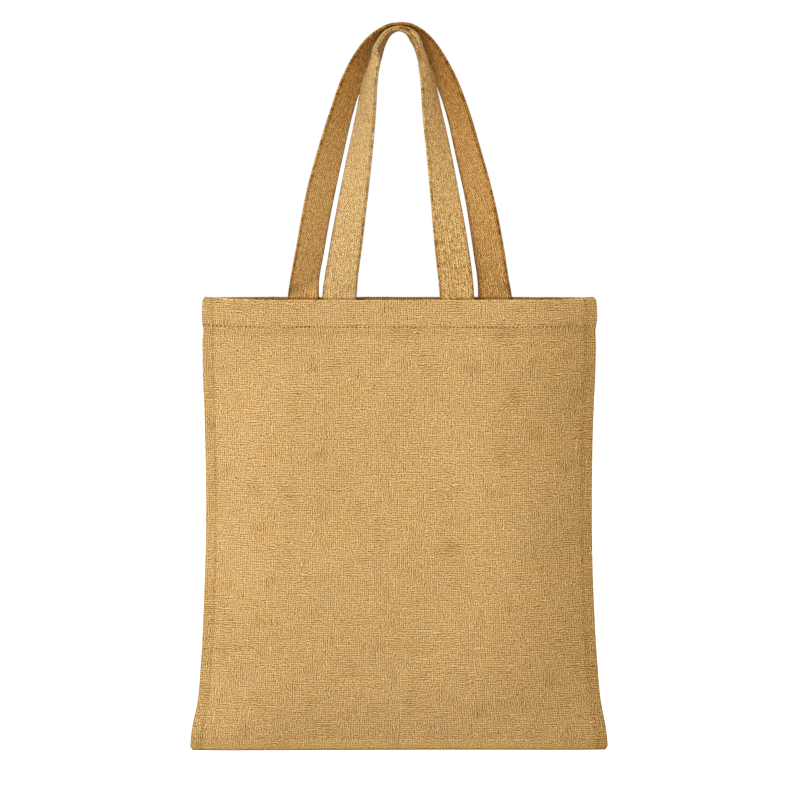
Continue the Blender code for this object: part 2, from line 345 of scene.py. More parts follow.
class Wire:
    """A number in a node tree, which Python's own signs add and multiply by new nodes."""

    def __init__(self, nodes: Nodes, socket: Socket) -> None:
        """Keep the tree and the output that carries the number."""
        self.nodes = nodes
        self.socket = socket

    def math(self, operation: str, *others: Wire | float, first: float | None = None) -> Wire:
        """Add one Math node.

        Args:
            operation: Blender's name for the sum.
            others: What goes into its further inputs.
            first: A number for its first input, which this wire then follows.

        Returns:
            The node's result.
        """
        values = [self, *others] if first is None else [first, self, *others]
        node = self.nodes.add("ShaderNodeMath", dict(enumerate(values)), operation=operation)
        return Wire(self.nodes, node.outputs[0])

    def __add__(self, other: Wire | float) -> Wire:
        """Sum."""
        return self.math("ADD", other)

    def __sub__(self, other: Wire | float) -> Wire:
        """Difference."""
        return self.math("SUBTRACT", other)

    def __rsub__(self, other: float) -> Wire:
        """Difference from a number."""
        return self.math("SUBTRACT", first=other)

    def __mul__(self, other: Wire | float) -> Wire:
        """Product."""
        return self.math("MULTIPLY", other)

    def __truediv__(self, other: Wire | float) -> Wire:
        """Quotient."""
        return self.math("DIVIDE", other)

    def floor(self) -> Wire:
        """Next whole number below."""
        return self.math("FLOOR")

    def from_middle(self) -> Wire:
        """Where the number stands between two whole ones: 0 halfway, -0.5 and 0.5 beside them."""
        return self.math("FRACT") - 0.5

    def wave(self) -> Wire:
        """Cosine of this many turns."""
        return (self * (2 * math.pi)).math("COSINE")

    def hill(self) -> Wire:
        """1 where the number is 0, and less by its square on both sides."""
        return 1.0 - self * self

    def share(self, gain: float, middle: float) -> Wire:
        """The number times a gain, plus its middle, held between 0 and 1."""
        return (self * gain + middle).clamped()

    def clamped(self) -> Wire:
        """The number, held between 0 and 1."""
        return self.math("MAXIMUM", 0.0).math("MINIMUM", 1.0)

    def size(self) -> Wire:
        """The number without its sign."""
        return self.math("ABSOLUTE")


class Finish(Nodes):
    """Node tree of one material, with the readings and patterns that the finishes share."""

    def __init__(self, name: str) -> None:
        """Start a material with one Principled shader.

        Args:
            name: Name of the material.
        """
        self.material = bpy.data.materials.new(name)
        self.material.use_nodes = True
        super().__init__(self.material.node_tree)
        self.shader = self.tree.nodes["Principled BSDF"]

    @cached_property
    def place(self) -> list[Wire]:
        """Place on the sheet's own map, across and along, in metres."""
        return self.parts(self.add("ShaderNodeUVMap", uv_map=CLOTH_MAP).outputs["UV"])[:2]

    def noise(self, x: Wire, y: Wire, detail: float = 1.0, roughness: float = 0.5) -> list[Wire]:
        """Soft noise with one feature to each whole number of x and y.

        Args:
            x: First coordinate.
            y: Second coordinate.
            detail: How many times finer noise is added on top.
            roughness: How much of each finer noise.

        Returns:
            Two unlike readings, each about 0 and within one half of it.
        """
        node = self.add("ShaderNodeTexNoise", {
            "Vector": self.vector(x, y), "Scale": 1.0, "Detail": detail, "Roughness": roughness},
            noise_dimensions="2D")
        colour = self.add("ShaderNodeSeparateColor", {0: node.outputs["Color"]})
        return [Wire(self, part) - 0.5 for part in colour.outputs[:2]]

    def spots(self, size: tuple, detail: float = 1.0, roughness: float = 0.5) -> list[Wire]:
        """Soft noise on the sheet's own map, with spots of one size, across and along it."""
        x, y = self.place
        return self.noise(x / size[0], y / size[1], detail, roughness)

    def toned(self, step: Wire) -> Wire:
        """Add the tone that the mesh carries at its points to a number of steps of colour."""
        tone = Wire(self, self.add("ShaderNodeAttribute", attribute_name=TONE).outputs["Fac"])
        return step + (tone - 1.0) * TONE_STEPS

    def shaded(self, plain: tuple, step: Wire) -> Socket:
        """Lighten or darken a colour by even steps, so that it grows richer as it darkens.

        Args:
            plain: The colour, in steps of 255 as on a screen.
            step: How many steps to add to each of its parts.

        Returns:
            The colour.
        """
        low, reach = SHADES[0], SHADES[-1] - SHADES[0]
        node = self.add("ShaderNodeValToRGB", {"Fac": (step - low) / reach})
        stops = node.color_ramp.elements
        for shade in SHADES[1:-1]:
            stops.new((shade - low) / reach)
        for stop, shade in zip(stops, SHADES):
            stop.color = (*(screen_colour(part + shade) for part in plain), 1.0)
        return node.outputs["Color"]

    def finish(self, colour: Socket, relief: Wire | None = None,
               roughness: float = 0.95, sheen: float = 0.04) -> Material:
        """Set the shader's inputs.

        Args:
            colour: The finished colour.
            relief: Height of the surface in metres, or None where it is smooth.
            roughness: Roughness of the fibres.
            sheen: Weight of the fuzz of fine fibre ends.

        Returns:
            The material.
        """
        self.feed(self.shader, {
            "Base Color": colour, "Roughness": roughness, "Specular IOR Level": 0.12,
            "Sheen Weight": sheen, "Sheen Roughness": 0.6, "Sheen Tint": (1.0, 0.85, 0.6, 1.0)})
        if relief is not None:
            bump = self.add("ShaderNodeBump", {"Strength": 1.0, "Distance": 1.0, "Height": relief})
            self.feed(self.shader, {"Normal": bump.outputs[0]})
        return self.material


# ---------------------------------------------------------------- finishes
@dataclass(frozen=True)
class JuteCloth:
    """Plain weave of uneven jute yarn."""

    level_seams: tuple  # heights of the level lines of stitches, and how they show
    side_seam: float  # distance of the upright lines from the middle
    plain: tuple = (194.0, 157.0, 100.0)  # colour, in steps of 255 as on a screen
    contrast: float = 70.0  # steps of colour from the gaps to the tops of the threads: partly the dark seen through the weave, partly painted shade in the gaps and painted light on the tops
    middle: float = 0.62  # height at which the colour is the plain one
    pitch: tuple = (2.02 * MM, 2.16 * MM)  # from one upright, and one level, thread to the next
    wander: float = 1.5 * MM  # how far threads stray from straight
    wander_run: float = 34.0 * MM
    crowd: float = 2.0 * MM  # how far neighbours crowd together or part
    crowd_reach: float = 5.0 * MM  # over this many threads
    crowd_run: float = 14.0 * MM  # and this length of them
    ruffle: float = 2.7 * MM  # how far threads are pushed about in the ruffled spots
    ruffle_run: float = 4.6 * MM
    ruffled: tuple = (3.0, 0.45)  # how sharply such spots end, and how much of the cloth they take
    slub_run: float = 16.0 * MM  # length of the thick and thin places in a thread
    slub: float = 0.22  # how much they rise and fall
    unlike: float = 3.7  # steps of noise between neighbours, so that they differ
    patch_run: float = 30.0 * MM  # size of the patches in which one set of threads shows more
    patch_steps: float = 5.0  # steps of colour between patches
    patchy: tuple = (2.0, 0.5)  # how sharply they end, and how much the upright threads show
    mixed: float = 0.27  # height taken off where both sets show
    tuft_run: float = 5.5 * MM  # size of the spots in which the gaps close or open
    tuft: float = 4.2  # how much they do
    round_top: float = 1.15  # how far a thread falls from its top to its sides
    halfway: float = 0.33  # square of the place on its side that such spots leave as high as it is
    sunk: float = 0.38  # how far all threads lie below a height of 1
    weave: float = 0.12  # how far it rises and falls as it passes over and under
    tint: float = 0.3  # share of each thread's own tint against its flecks
    fleck: float = 1.3 * MM  # thickness of the fibre bundles in a thread
    fleck_run: float = 3.4 * MM
    fleck_steps: float = 50.0
    grain: float = 1.4 * MM  # size of the shortest fibre ends
    grain_steps: float = 95.0
    calm_edge: tuple = (4 * MM, 9 * MM)  # where the weave calms down over the bottom edge
    calm: float = 0.55  # and to which share
    brightest: float = 48.0  # steps of colour at which bright places level off
    level_off: float = 40.0  # how softly they do
    relief: float = 0.34 * MM  # height of the threads
    hole_pitch: float = 4.1 * MM  # from one needle hole to the next
    hole: float = 0.9 * MM  # radius of a needle hole
    hole_steps: float = 75.0  # how much darker it is
    side_holes: float = 0.45  # how the holes in the side seams show
    open_holes: tuple = (7.0, 0.7)  # how sharply open ones change to closed, and how many are open

    def material(self, name: str) -> Material:
        """Write the material.

        Args:
            name: Name of the material.

        Returns:
            The new material.
        """
        finish = Finish(name)
        x, y = finish.place
        stray_x, stray_y = finish.spots((self.wander_run, self.wander_run), detail=3.0)
        crowd_x, _ = finish.spots((self.crowd_reach, self.crowd_run))
        crowd_y, _ = finish.spots((self.crowd_run, self.crowd_reach))
        patch, patch_tone = finish.spots((self.patch_run, self.patch_run), detail=3.0, roughness=0.6)
        ruffled = patch_tone.share(*self.ruffled) * self.ruffle
        ruffle_x, ruffle_y = finish.spots((self.ruffle_run, self.ruffle_run), detail=0.0)
        column = x + stray_x * self.wander + crowd_x * self.crowd + ruffle_x * ruffled
        row = y + stray_y * self.wander + crowd_y * self.crowd + ruffle_y * ruffled
        column, row = column / self.pitch[0], row / self.pitch[1]
        i, j = column.floor(), row.floor()
        slub_i, tint_i = finish.noise(i * self.unlike, y / self.slub_run)
        slub_j, tint_j = finish.noise(x / self.slub_run, j * self.unlike)
        fleck_i, _ = finish.spots((self.fleck, self.fleck_run))
        fleck_j, _ = finish.spots((self.fleck_run, self.fleck))
        grain, _ = finish.spots((self.grain, self.grain), detail=0.0)
        tuft_i, tuft_j = finish.spots((self.tuft_run, self.tuft_run), detail=2.0)

        upright, upright_over = self.thread(column, row, i, slub_i, tuft_i)
        level, level_over = self.thread(row, column, j + 1.0, slub_j, tuft_j)
        share = patch.share(*self.patchy)
        height = upright * share + level * (1.0 - share)
        over = ((upright_over - level_over) * 0.5 + 0.5).clamped()
        mixed = share * (1.0 - share) * 4.0
        checker = upright.math("MAXIMUM", level) * 0.5 * mixed
        thread_tone = (tint_i * self.tint + fleck_i) * over + (tint_j * self.tint + fleck_j) * (1.0 - over)
        step = (height + checker - self.middle - mixed * self.mixed) * self.contrast
        step = step + thread_tone * self.fleck_steps + grain * self.grain_steps
        step = step + patch_tone * self.patch_steps
        start, run = self.calm_edge
        step = step * (((y - start) / run).clamped() * (1.0 - self.calm) + self.calm)
        step = step.math("SMOOTH_MIN", self.brightest, self.level_off)
        step = finish.toned(step - self.holes(x, y, stray_x) * self.hole_steps)
        return finish.finish(finish.shaded(self.plain, step), height * self.relief)

    def thread(self, across: Wire, along: Wire, number: Wire, slub: Wire, tuft: Wire) -> tuple[Wire, Wire]:
        """One set of threads.

        Args:
            across: Place across the threads, in threads.
            along: Place along them, in threads of the other set.
            number: Number of the thread, which says whether it goes over or under first.
            slub: Noise that makes it thick or thin.
            tuft: Noise that closes or opens the gaps beside it.

        Returns:
            Their height, from 0 in the gaps to about 1, and whether they pass over (1) or under (-1).
        """
        centred = across.from_middle() * 2.0
        round_top = 1.0 - (centred * centred - self.halfway) * (tuft * self.tuft + self.round_top)
        wave = ((along - 0.5 + number) * 0.5).wave()
        return round_top - self.sunk + wave * self.weave + slub * self.slub, wave

    def holes(self, x: Wire, y: Wire, uneven: Wire) -> Wire:
        """Where the needle went through.

        Args:
            x: Place across the cloth.
            y: Place along it.
            uneven: Noise that lets some of the holes close up.

        Returns:
            Up to 1 in the holes along a line of stitches, else 0.
        """
        across = self.dots(x - (2 * MM - self.side_seam - self.hole_pitch / 2))
        upright = self.dots(y - (self.level_seams[0][0] - self.hole_pitch / 2))
        total = upright * self.near(x.size() - self.side_seam) * self.side_holes
        for height, share in self.level_seams:
            total = total + across * self.near(y - height) * share
        return total * uneven.share(*self.open_holes)

    def dots(self, distance: Wire) -> Wire:
        """Bumps from 0 to 1 at every whole number of stitches."""
        centred = (distance / self.hole_pitch + 0.5).from_middle() * (self.hole_pitch / self.hole)
        return centred.hill().clamped()

    def near(self, distance: Wire) -> Wire:
        """1 on a line of stitches, falling to 0 beside it."""
        return (distance / self.hole).hill().clamped()


@dataclass(frozen=True)
class JuteWebbing:
    """Herringbone webbing: slanted ribs that turn back at each chevron's edge."""

    rib_pitch: float
    chevron: float
    plain: tuple  # colour, in steps of 255 as on a screen
    painted_shade_colour: tuple  # colour of the stretch in painted shade, warmer and richer
    painted_shade_centre: float  # place along the webbing from which it is measured
    painted_shade_none: float  # distance at which no painted shade has started
    painted_shade_full: float  # distance at which the painted shade is full
    contrast: float = 105.0  # steps of colour from the gaps to the tops of the yarns: painted shade in the gaps and painted light on the tops
    middle: float = 0.56  # height at which the colour is the plain one
    stray: float = 1.3 * MM  # how far ribs stray from straight
    stray_size: tuple = (14 * MM, 14 * MM)
    crowd: float = 1.8 * MM  # how far neighbours crowd together or part
    yarn_crowd_size: tuple = (5 * MM, 16 * MM)
    rib_crowd_size: tuple = (9 * MM, 5 * MM)
    yarn_pitch: float = 2.2 * MM
    slub_run: float = 4 * MM
    slub: float = 0.15
    unlike: float = 3.1  # steps of noise between neighbours, so that they differ
    tint_steps: float = 22.0
    fleck_size: tuple = (1.5 * MM, 1.4 * MM)
    fleck_steps: float = 110.0
    dash_size: tuple = (2.1 * MM, 5.0 * MM)
    dash_steps: float = 66.0
    speck_steps: float = 18.0
    spot_size: tuple = (2.3 * MM, 1.8 * MM)
    spot_steps: float = 42.0
    painted_shade_rough: float = 0.55  # how much more uneven the stretch in painted shade is
    patch_size: tuple = (12 * MM, 20 * MM)
    patch_steps: float = 12.0
    rib_share: tuple = (0.55, 1.2)  # share of the ribs in the height, and how it wanders
    yarn_share: tuple = (0.45, -0.9)  # and that of the yarns
    relief: float = 0.26 * MM  # height of the ribs and yarns

    def material(self, name: str) -> Material:
        """Write the material.

        Args:
            name: Name of the material.

        Returns:
            The new material.
        """
        finish = Finish(name)
        x, y = finish.place
        stray, _ = finish.spots(self.stray_size, detail=2.0)
        crowd_x, _ = finish.spots(self.yarn_crowd_size)
        crowd_y, _ = finish.spots(self.rib_crowd_size)
        folded = (x / self.chevron).from_middle().size() * self.chevron
        rib = (y + folded + stray * self.stray + crowd_y * self.crowd) / self.rib_pitch
        column = (x + crowd_x * self.crowd) / self.yarn_pitch
        yarn = (column.from_middle() * 2.0).hill()
        slub, tint = finish.noise(column.floor() * self.unlike, y / self.slub_run)
        fleck, _ = finish.spots(self.fleck_size)
        dash, speck = finish.spots(self.dash_size)
        spot, _ = finish.spots(self.spot_size, detail=0.0)
        patch, patch_tone = finish.spots(self.patch_size, detail=3.0, roughness=0.6)
        (rib_base, rib_gain), (yarn_base, yarn_gain) = self.rib_share, self.yarn_share
        height = (rib.wave() * 0.5 + 0.5) * (patch * rib_gain + rib_base) + slub * self.slub
        height = height + yarn * (patch * yarn_gain + yarn_base)
        step = (height - self.middle) * self.contrast + patch_tone * self.patch_steps
        step = step + tint * self.tint_steps + fleck * self.fleck_steps
        # Painted shade: the colour turns warmer and richer along the stretch that lies in shade.
        away = (y - self.painted_shade_centre).size()
        warmth = ((away - self.painted_shade_none) / (self.painted_shade_full - self.painted_shade_none)).clamped()
        rough = dash * self.dash_steps + speck * self.speck_steps + spot * self.spot_steps
        step = finish.toned(step + rough * (warmth * self.painted_shade_rough + 1.0))
        colour = finish.blend(warmth, finish.shaded(self.plain, step), finish.shaded(self.painted_shade_colour, step))
        return finish.finish(colour, height * self.relief)


@dataclass(frozen=True)
class JuteThread:
    """Sewing thread or loose fibre: one colour, a little uneven from place to place."""

    dark: tuple
    light: tuple
    roughness: float
    spots: float = 420.0  # spots to the metre
    contrast: tuple = (2.4, -0.7)  # how sharply they change, and where from

    def material(self, name: str) -> Material:
        """Write the material.

        Args:
            name: Name of the material.

        Returns:
            The new material.
        """
        finish = Finish(name)
        place = finish.add("ShaderNodeTexCoord").outputs["Object"]
        noise = finish.add("ShaderNodeTexNoise", {"Vector": place, "Scale": self.spots, "Detail": 2.0})
        share = Wire(finish, noise.outputs["Fac"]).share(*self.contrast)
        colour = finish.blend(share, (*self.dark, 1.0), (*self.light, 1.0))
        return finish.finish(colour, roughness=self.roughness, sheen=0.1)


SEWING_THREAD = JuteThread((0.36, 0.20, 0.075), (0.74, 0.50, 0.23), 0.8)
FIBRE = JuteThread((0.55, 0.36, 0.15), (0.86, 0.64, 0.34), 0.7)


# ---------------------------------------------------------------- the bag's form
class Side(Enum):
    """The two sides of the bag, with the sign of Y on which each lies."""

    FRONT = -1.0
    BACK = 1.0

    @property
    def word(self) -> str:
        """The side's word in the names of pieces."""
        return self.name.lower()


@dataclass(frozen=True)
class BagForm:
    """The smooth form that both panels follow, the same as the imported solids'."""

    cloth: float = 1.4 * MM
    hem_gap: float = 0.4 * MM
    sewn_gap: float = 0.3 * MM
    bag_height: float = 438.7 * MM
    bottom_z: float = -691.6 * MM
    hem_depth: float = 28.0 * MM
    hem_step: float = 9.0 * MM
    hem_stitch: float = 1.5 * MM  # from the hem's inner edge to its line of stitches
    nominal_half_width: float = 191.0 * MM
    side_seam: float = 10.0 * MM
    bottom_seam: float = 12.0 * MM
    side_curve: float = 105.0 * MM  # how far the pillow's rounding reaches in from the seams
    mouth_curve: float = 72.0 * MM
    bottom_curve: float = 130.0 * MM
    bottom_corner: float = 5.5 * MM
    top_corner: float = 4.0 * MM
    bottom_lift: float = 0.5 * MM
    front_sag: float = 1.9 * MM
    back_sag: float = 0.5 * MM
    seam_lean: float = 2.2 * MM  # how far the side seams lean back at their outer edge
    lean_start: float = 0.80  # share of the width at which they start to

    # Half widths by height above the bottom edge: height, left, right, in mm.
    outline = (
        (0.0, 202.9, 202.2),
        (20.0, 201.0, 200.2),
        (47.0, 195.5, 195.0),
        (88.0, 191.8, 190.9),
        (146.0, 188.6, 187.4),
        (223.0, 186.2, 185.3),
        (301.0, 186.6, 185.8),
        (377.0, 188.8, 188.1),
        (398.0, 188.9, 188.2),
        (407.0, 188.0, 187.7),
        (416.0, 189.2, 189.1),
        (426.0, 189.1, 189.2),
        (439.0, 188.5, 188.0),
    )
    # How far each panel stands off the seams by height: height, front, back, in mm.
    belly = (
        (0.0, 25.0, 22.0),
        (140.0, 25.0, 22.0),
        (240.0, 23.0, 20.5),
        (330.0, 18.5, 17.0),
        (400.0, 15.0, 14.5),
        (439.0, 14.0, 13.5),
    )
    # Soft troughs and ridges: x, height, half length, half breadth in mm, angle from level, depth.
    front_folds = (
        (28.0, 372.0, 60.0, 24.0, 78.0, 1.5),
        (-96.0, 330.0, 95.0, 26.0, 96.0, -1.3),
        (-70.0, 226.0, 80.0, 24.0, 58.0, 1.6),
        (52.0, 232.0, 70.0, 26.0, 112.0, 1.5),
        (104.0, 300.0, 110.0, 22.0, 84.0, 1.4),
        (-118.0, 92.0, 90.0, 22.0, 40.0, 1.9),
        (112.0, 96.0, 95.0, 24.0, 138.0, 2.2),
        (-20.0, 84.0, 85.0, 22.0, 8.0, 1.3),
    )
    back_folds = (
        (-60.0, 356.0, 80.0, 26.0, 82.0, 1.8),
        (74.0, 340.0, 90.0, 24.0, 100.0, 1.6),
        (20.0, 236.0, 90.0, 30.0, 64.0, 1.8),
        (-110.0, 190.0, 100.0, 26.0, 104.0, -1.5),
        (118.0, 88.0, 90.0, 24.0, 136.0, 2.3),
        (-112.0, 98.0, 95.0, 22.0, 42.0, 2.0),
        (10.0, 92.0, 80.0, 24.0, 172.0, 1.5),
    )
    # Waves of the seams' surface: depth in mm, length up and across in metres, and where they start.
    seam_waves = ((1.5, 0.310, 0.900, 0.6), (0.8, 0.145, -0.520, 2.1))

    @property
    def rim_z(self) -> float:
        """Height of the rim, seen from the hang point."""
        return self.bottom_z + self.bag_height

    @property
    def hem_line(self) -> float:
        """Height of the hem's line of stitches above the bottom edge."""
        return self.bag_height - self.hem_depth + self.hem_stitch

    @property
    def side_line(self) -> float:
        """Distance of the side seams from the middle."""
        return self.nominal_half_width - self.side_seam

    @property
    def hem_out(self) -> float:
        """How far the hem's outer layer stands out from its inner one."""
        return self.cloth + self.hem_gap

    def half_width(self, share: Array, height: Array) -> Array:
        """Measure half the bag's width.

        Args:
            share: Share of the width, whose sign says which half.
            height: Height above the bottom edge.

        Returns:
            The half width there.
        """
        table = np.array(self.outline).T * MM
        left = smooth_curve(table[0], table[1], height)
        right = smooth_curve(table[0], table[2], height)
        width = np.where(share < 0, left, right)
        width = width - corner_cut(height, self.bottom_corner)
        return width - corner_cut(self.bag_height - height, self.top_corner)

    def fold_depth(self, side: Side, x: Array, height: Array) -> Array:
        """Add up a panel's soft troughs and ridges.

        Args:
            side: Side of the bag.
            x: Distance from the middle.
            height: Height above the bottom edge.

        Returns:
            How far the cloth lies in.
        """
        total = np.zeros(np.broadcast(x, height).shape)
        folds = self.front_folds if side is Side.FRONT else self.back_folds
        for fold_x, fold_height, length, breadth, angle, depth in folds:
            turn = math.radians(angle)
            dx = x / MM - fold_x
            dh = height / MM - fold_height
            along = (dx * math.cos(turn) + dh * math.sin(turn)) / length
            across = (dh * math.cos(turn) - dx * math.sin(turn)) / breadth
            total += depth * np.exp(-(along**2) - across**2)
        return total * MM

    def seam_plane(self, x: Array, height: Array) -> Array:
        """Find the surface in which the two panels are sewn together.

        Args:
            x: Distance from the middle.
            height: Height above the bottom edge.

        Returns:
            Its Y.
        """
        wave = sum(depth * np.sin(2 * math.pi * (height / up + x / across) + start)
                   for depth, up, across, start in self.seam_waves)
        past = np.maximum(np.abs(x) / self.nominal_half_width - self.lean_start, 0.0)
        return wave * MM + self.seam_lean * past**2 / (1.0 - self.lean_start) ** 2

    def panel_y(self, side: Side, share: Array, height: Array) -> Array:
        """Find a panel's cloth, without the hem's outer layer.

        Args:
            side: Side of the bag.
            share: Share of the half width, -1 at the left to +1 at the right.
            height: Height above the bottom edge.

        Returns:
            Y of the middle of its thickness.
        """
        x = share * self.half_width(share, height)
        inset = (1.0 - np.abs(share)) * self.nominal_half_width
        table = np.array(self.belly).T * MM
        column = table[1] if side is Side.FRONT else table[2]
        belly = smooth_curve(table[0], column, height) - self.fold_depth(side, x, height)
        upper = ease(height / self.bag_height * 2.0 - 1.0)
        reach = self.side_curve + (self.mouth_curve - self.side_curve) * upper
        rise = round_rise((inset - self.side_seam) / reach)
        rise = rise * round_rise((height - self.bottom_seam) / self.bottom_curve)
        off = self.sewn_gap / 2 + self.cloth / 2 + belly * rise
        return self.seam_plane(x, height) + side.value * off

    def level_z(self, side: Side, share: Array, height: Array) -> Array:
        """Find a height above the bottom edge, with the edge's lift and the rim's sag.

        Args:
            side: Side of the bag.
            share: Share of the half width, -1 at the left to +1 at the right.
            height: Height above the bottom edge.

        Returns:
            Its Z.
        """
        part = height / self.bag_height
        depth = self.front_sag if side is Side.FRONT else self.back_sag
        lift = self.bottom_lift * (1.0 - share**2) * (1.0 - part)
        return self.bottom_z + height + lift - depth * (1.0 - share**6) * part**3


# ---------------------------------------------------------------- panels
@dataclass
class Panel:
    """One sheet of jute cloth, with its turned-in hem and the marks of its sewing."""

    form: BagForm
    side: Side
    seed: int
    grid_step: float = 2.45 * MM  # spacing of the sheet's points
    seam_step: float = 1.25 * MM  # the same beside seams
    seam_margins: tuple = (5 * MM, 6 * MM)  # how far past the bottom and side seams that goes on
    step_margin: float = 4 * MM  # and how far below the hem's step
    hem_steps: tuple = (1.7 * MM, 2.4 * MM)  # the same on the hem, outside and inside
    fold_steps: int = 8
    fold_gap: float = 2.2 * MM  # from the fold's last row to the next one down the inside
    groove: float = 0.13 * MM  # how far a line of stitches pulls the cloth in
    groove_reach: float = 1.5 * MM
    pucker: float = 0.26 * MM  # height of the small waves beside a seam
    pucker_run: float = 13.0 * MM  # from one such wave to the next
    pucker_reach: float = 7.0 * MM
    hem_pucker: float = 0.6  # share of it beside the hem's stitches
    hem_reach: float = 6.0 * MM
    waver: float = 0.35  # how unevenly the small waves follow each other
    waver_run: float = 40.0 * MM
    slub: float = 0.11 * MM  # unevenness of the threads
    lump: float = 0.22 * MM  # unevenness of the cloth between hand-sized areas
    calm_run: float = 30.0 * MM  # run from a seam over which both grow
    seam_dip: float = 0.45  # how far the cloth may dip in the seams, in sewn gaps
    free_dip: float = 2 * MM  # how much farther it may away from them
    free_start: float = 4 * MM
    painted_right_shade: float = 0.115  # painted shade: how much darker the right side is, where the light falls off
    right_run: tuple = (60 * MM, 120 * MM)  # where that starts and over what run
    hem_light: float = 0.03  # how much less so on the hem
    hem_run: float = 8.0 * MM
    painted_band_shade: float = 0.09  # painted shade: how much darker the right seam allowance is
    band_run: tuple = (176 * MM, 7 * MM)
    painted_left_light: float = 0.07  # painted light: how much lighter the left side is, towards the lamp
    left_run: tuple = (100 * MM, 60 * MM)
    left_height: tuple = (230 * MM, 130 * MM)  # at which height, and how far up and down
    painted_mouth_shade: float = 0.55  # painted shade: how much darker the inside of the hem is, in the mouth's shade
    mouth_run: tuple = (0.8 * MM, 40 * MM)  # over what run from the rim, and from the sides
    mouth_start: tuple = (0.2, -1.0)  # where it starts past the rim, front and back, in hem_out
    seam_seed: int = 7  # both panels move together in the seams

    # Noises of the threads, the cloth and the tone: size across and along in mm, and how much.
    thread_noises = ((2.02, 15.0, 1.0), (15.0, 2.16, 1.0))
    lump_noises = ((11.0, 11.0, 0.45), (31.0, 37.0, 1.0))
    patch_noises = ((52.0, 60.0, 0.02),)
    # Darker margins: from where, how much darker, and from where to where they fade, in mm.
    dark_margins = (("inset", 0.05, 7.0, 5.0), ("along", 0.06, 8.0, 6.0))
    # Darker lines: where, how much darker, and how far they reach to both sides, in mm. The lines of
    # stitches are darker; the line along the bottom edge is a painted shadow.
    dark_lines = (("side", 0.07, 1.6), ("along", 0.80, 1.25), ("hem", 0.08, 1.4), ("bottom", 0.05, 1.6))

    def __post_init__(self) -> None:
        """Space out the rows and columns, and measure from the edges and lines of stitches."""
        form = self.form
        height, step, along = self.rows()
        share = self.shares()
        self.share, self.height = np.meshgrid(share, height)
        self.across, self.along = np.meshgrid(share * form.nominal_half_width, along)
        self.step = np.repeat(step[:, None], len(share), axis=1)
        inset = form.nominal_half_width - np.abs(self.across)
        self.where = {"along": self.along, "inset": inset, "side": inset - form.side_seam,
                      "bottom": self.along - form.bottom_seam, "hem": self.along - form.hem_line}

    def rows(self) -> tuple[Array, Array, Array]:
        """Rows of the sheet, up the outside, over the rim and down the inside of the hem.

        Returns:
            Height above the bottom edge, step out from the hem's inner layer, and the
            distance along the cloth.
        """
        form = self.form
        outer = form.hem_out
        bend = outer / 2
        fold_height = form.bag_height - bend - form.cloth / 2
        hem_end = form.bag_height - form.hem_depth
        step_start = hem_end - form.hem_step
        seam_top = form.bottom_seam + self.seam_margins[0]
        body = np.concatenate([
            spaced(form.cloth / 2, form.bottom_corner, self.seam_step / 2),
            spaced(form.bottom_corner, seam_top, self.seam_step),
            spaced(seam_top, step_start - self.step_margin, self.grid_step),
            spaced(step_start - self.step_margin, hem_end, self.seam_step),
        ])
        body_step = outer * ease((body - step_start) / form.hem_step)
        hem = spaced(hem_end, fold_height, self.hem_steps[0])
        angle = np.linspace(0.0, math.pi, self.fold_steps + 1)
        fold = fold_height + bend * np.sin(angle)
        fold_step = bend * (1.0 + np.cos(angle))
        inside = np.arange(fold_height - self.fold_gap, hem_end, -self.hem_steps[1])
        height = np.concatenate([body, hem, fold, inside])
        step = np.concatenate([body_step, np.full(len(hem), outer), fold_step, np.zeros(len(inside))])
        runs = np.hypot(np.diff(height), np.diff(step))
        along = height[0] + np.concatenate([[0.0], np.cumsum(runs)])
        return height, step, along

    def shares(self) -> Array:
        """Space out the columns, closer beside the seams.

        Returns:
            Shares of the half width, -1 at the left to +1 at the right.
        """
        form = self.form
        seam_reach = form.side_seam + self.seam_margins[1]
        seam = spaced(form.cloth / 2, seam_reach, self.seam_step)
        middle = spaced(seam_reach, form.nominal_half_width, self.grid_step)
        right = 1.0 - np.concatenate([seam, middle]) / form.nominal_half_width
        return np.concatenate([-right, [0.0], right[::-1]])

    def noises(self, table: tuple, seed: int) -> Array:
        """Add up noises of several sizes.

        Args:
            table: Size across and along in mm and share of each noise.
            seed: Seed of the first; each further one takes the next.

        Returns:
            The sum.
        """
        return sum(share * soft_noise(self.across / (wide * MM), self.along / (high * MM), seed + row)
                   for row, (wide, high, share) in enumerate(table))

    def waves(self, distance: Array, seed: int) -> Array:
        """Small waves along a seam, each a little longer or shorter than the next."""
        waver = soft_noise(self.across / self.waver_run, self.along / self.waver_run, seed) * self.waver
        return np.sin(2 * math.pi * (distance / self.pucker_run + waver))

    def relief(self) -> Array:
        """Raise and lower the cloth for its threads, lumps, grooves and puckers.

        Returns:
            How far the cloth stands proud of its smooth form.
        """
        where = self.where
        off_seam = ease(np.minimum(where["inset"], where["along"]) / self.calm_run)
        height = self.slub * self.noises(self.thread_noises, self.seed) * (0.5 + 0.5 * off_seam)
        height = height + self.lump * self.noises(self.lump_noises, self.seed + 2) * off_seam
        hem_waves = self.waves(self.across, self.seed + 4)
        height = height + self.pucker * hem_waves * bell(where["hem"], self.hem_reach) * self.hem_pucker
        for line, depth in (("side", 1.0), ("bottom", 1.0), ("hem", 2.0)):
            height = height - self.groove * depth * bell(where[line], self.groove_reach)
        inward = np.minimum(where["side"], where["bottom"])
        free = ramp(inward, self.free_start, self.calm_run)
        height = np.maximum(height, -self.form.sewn_gap * self.seam_dip - self.free_dip * free)
        seam_waves = (self.waves(self.along, self.seam_seed) * bell(where["side"], self.pucker_reach)
                      + self.waves(self.across, self.seam_seed) * bell(where["bottom"], self.pucker_reach))
        return height + self.side.value * (self.pucker * seam_waves)

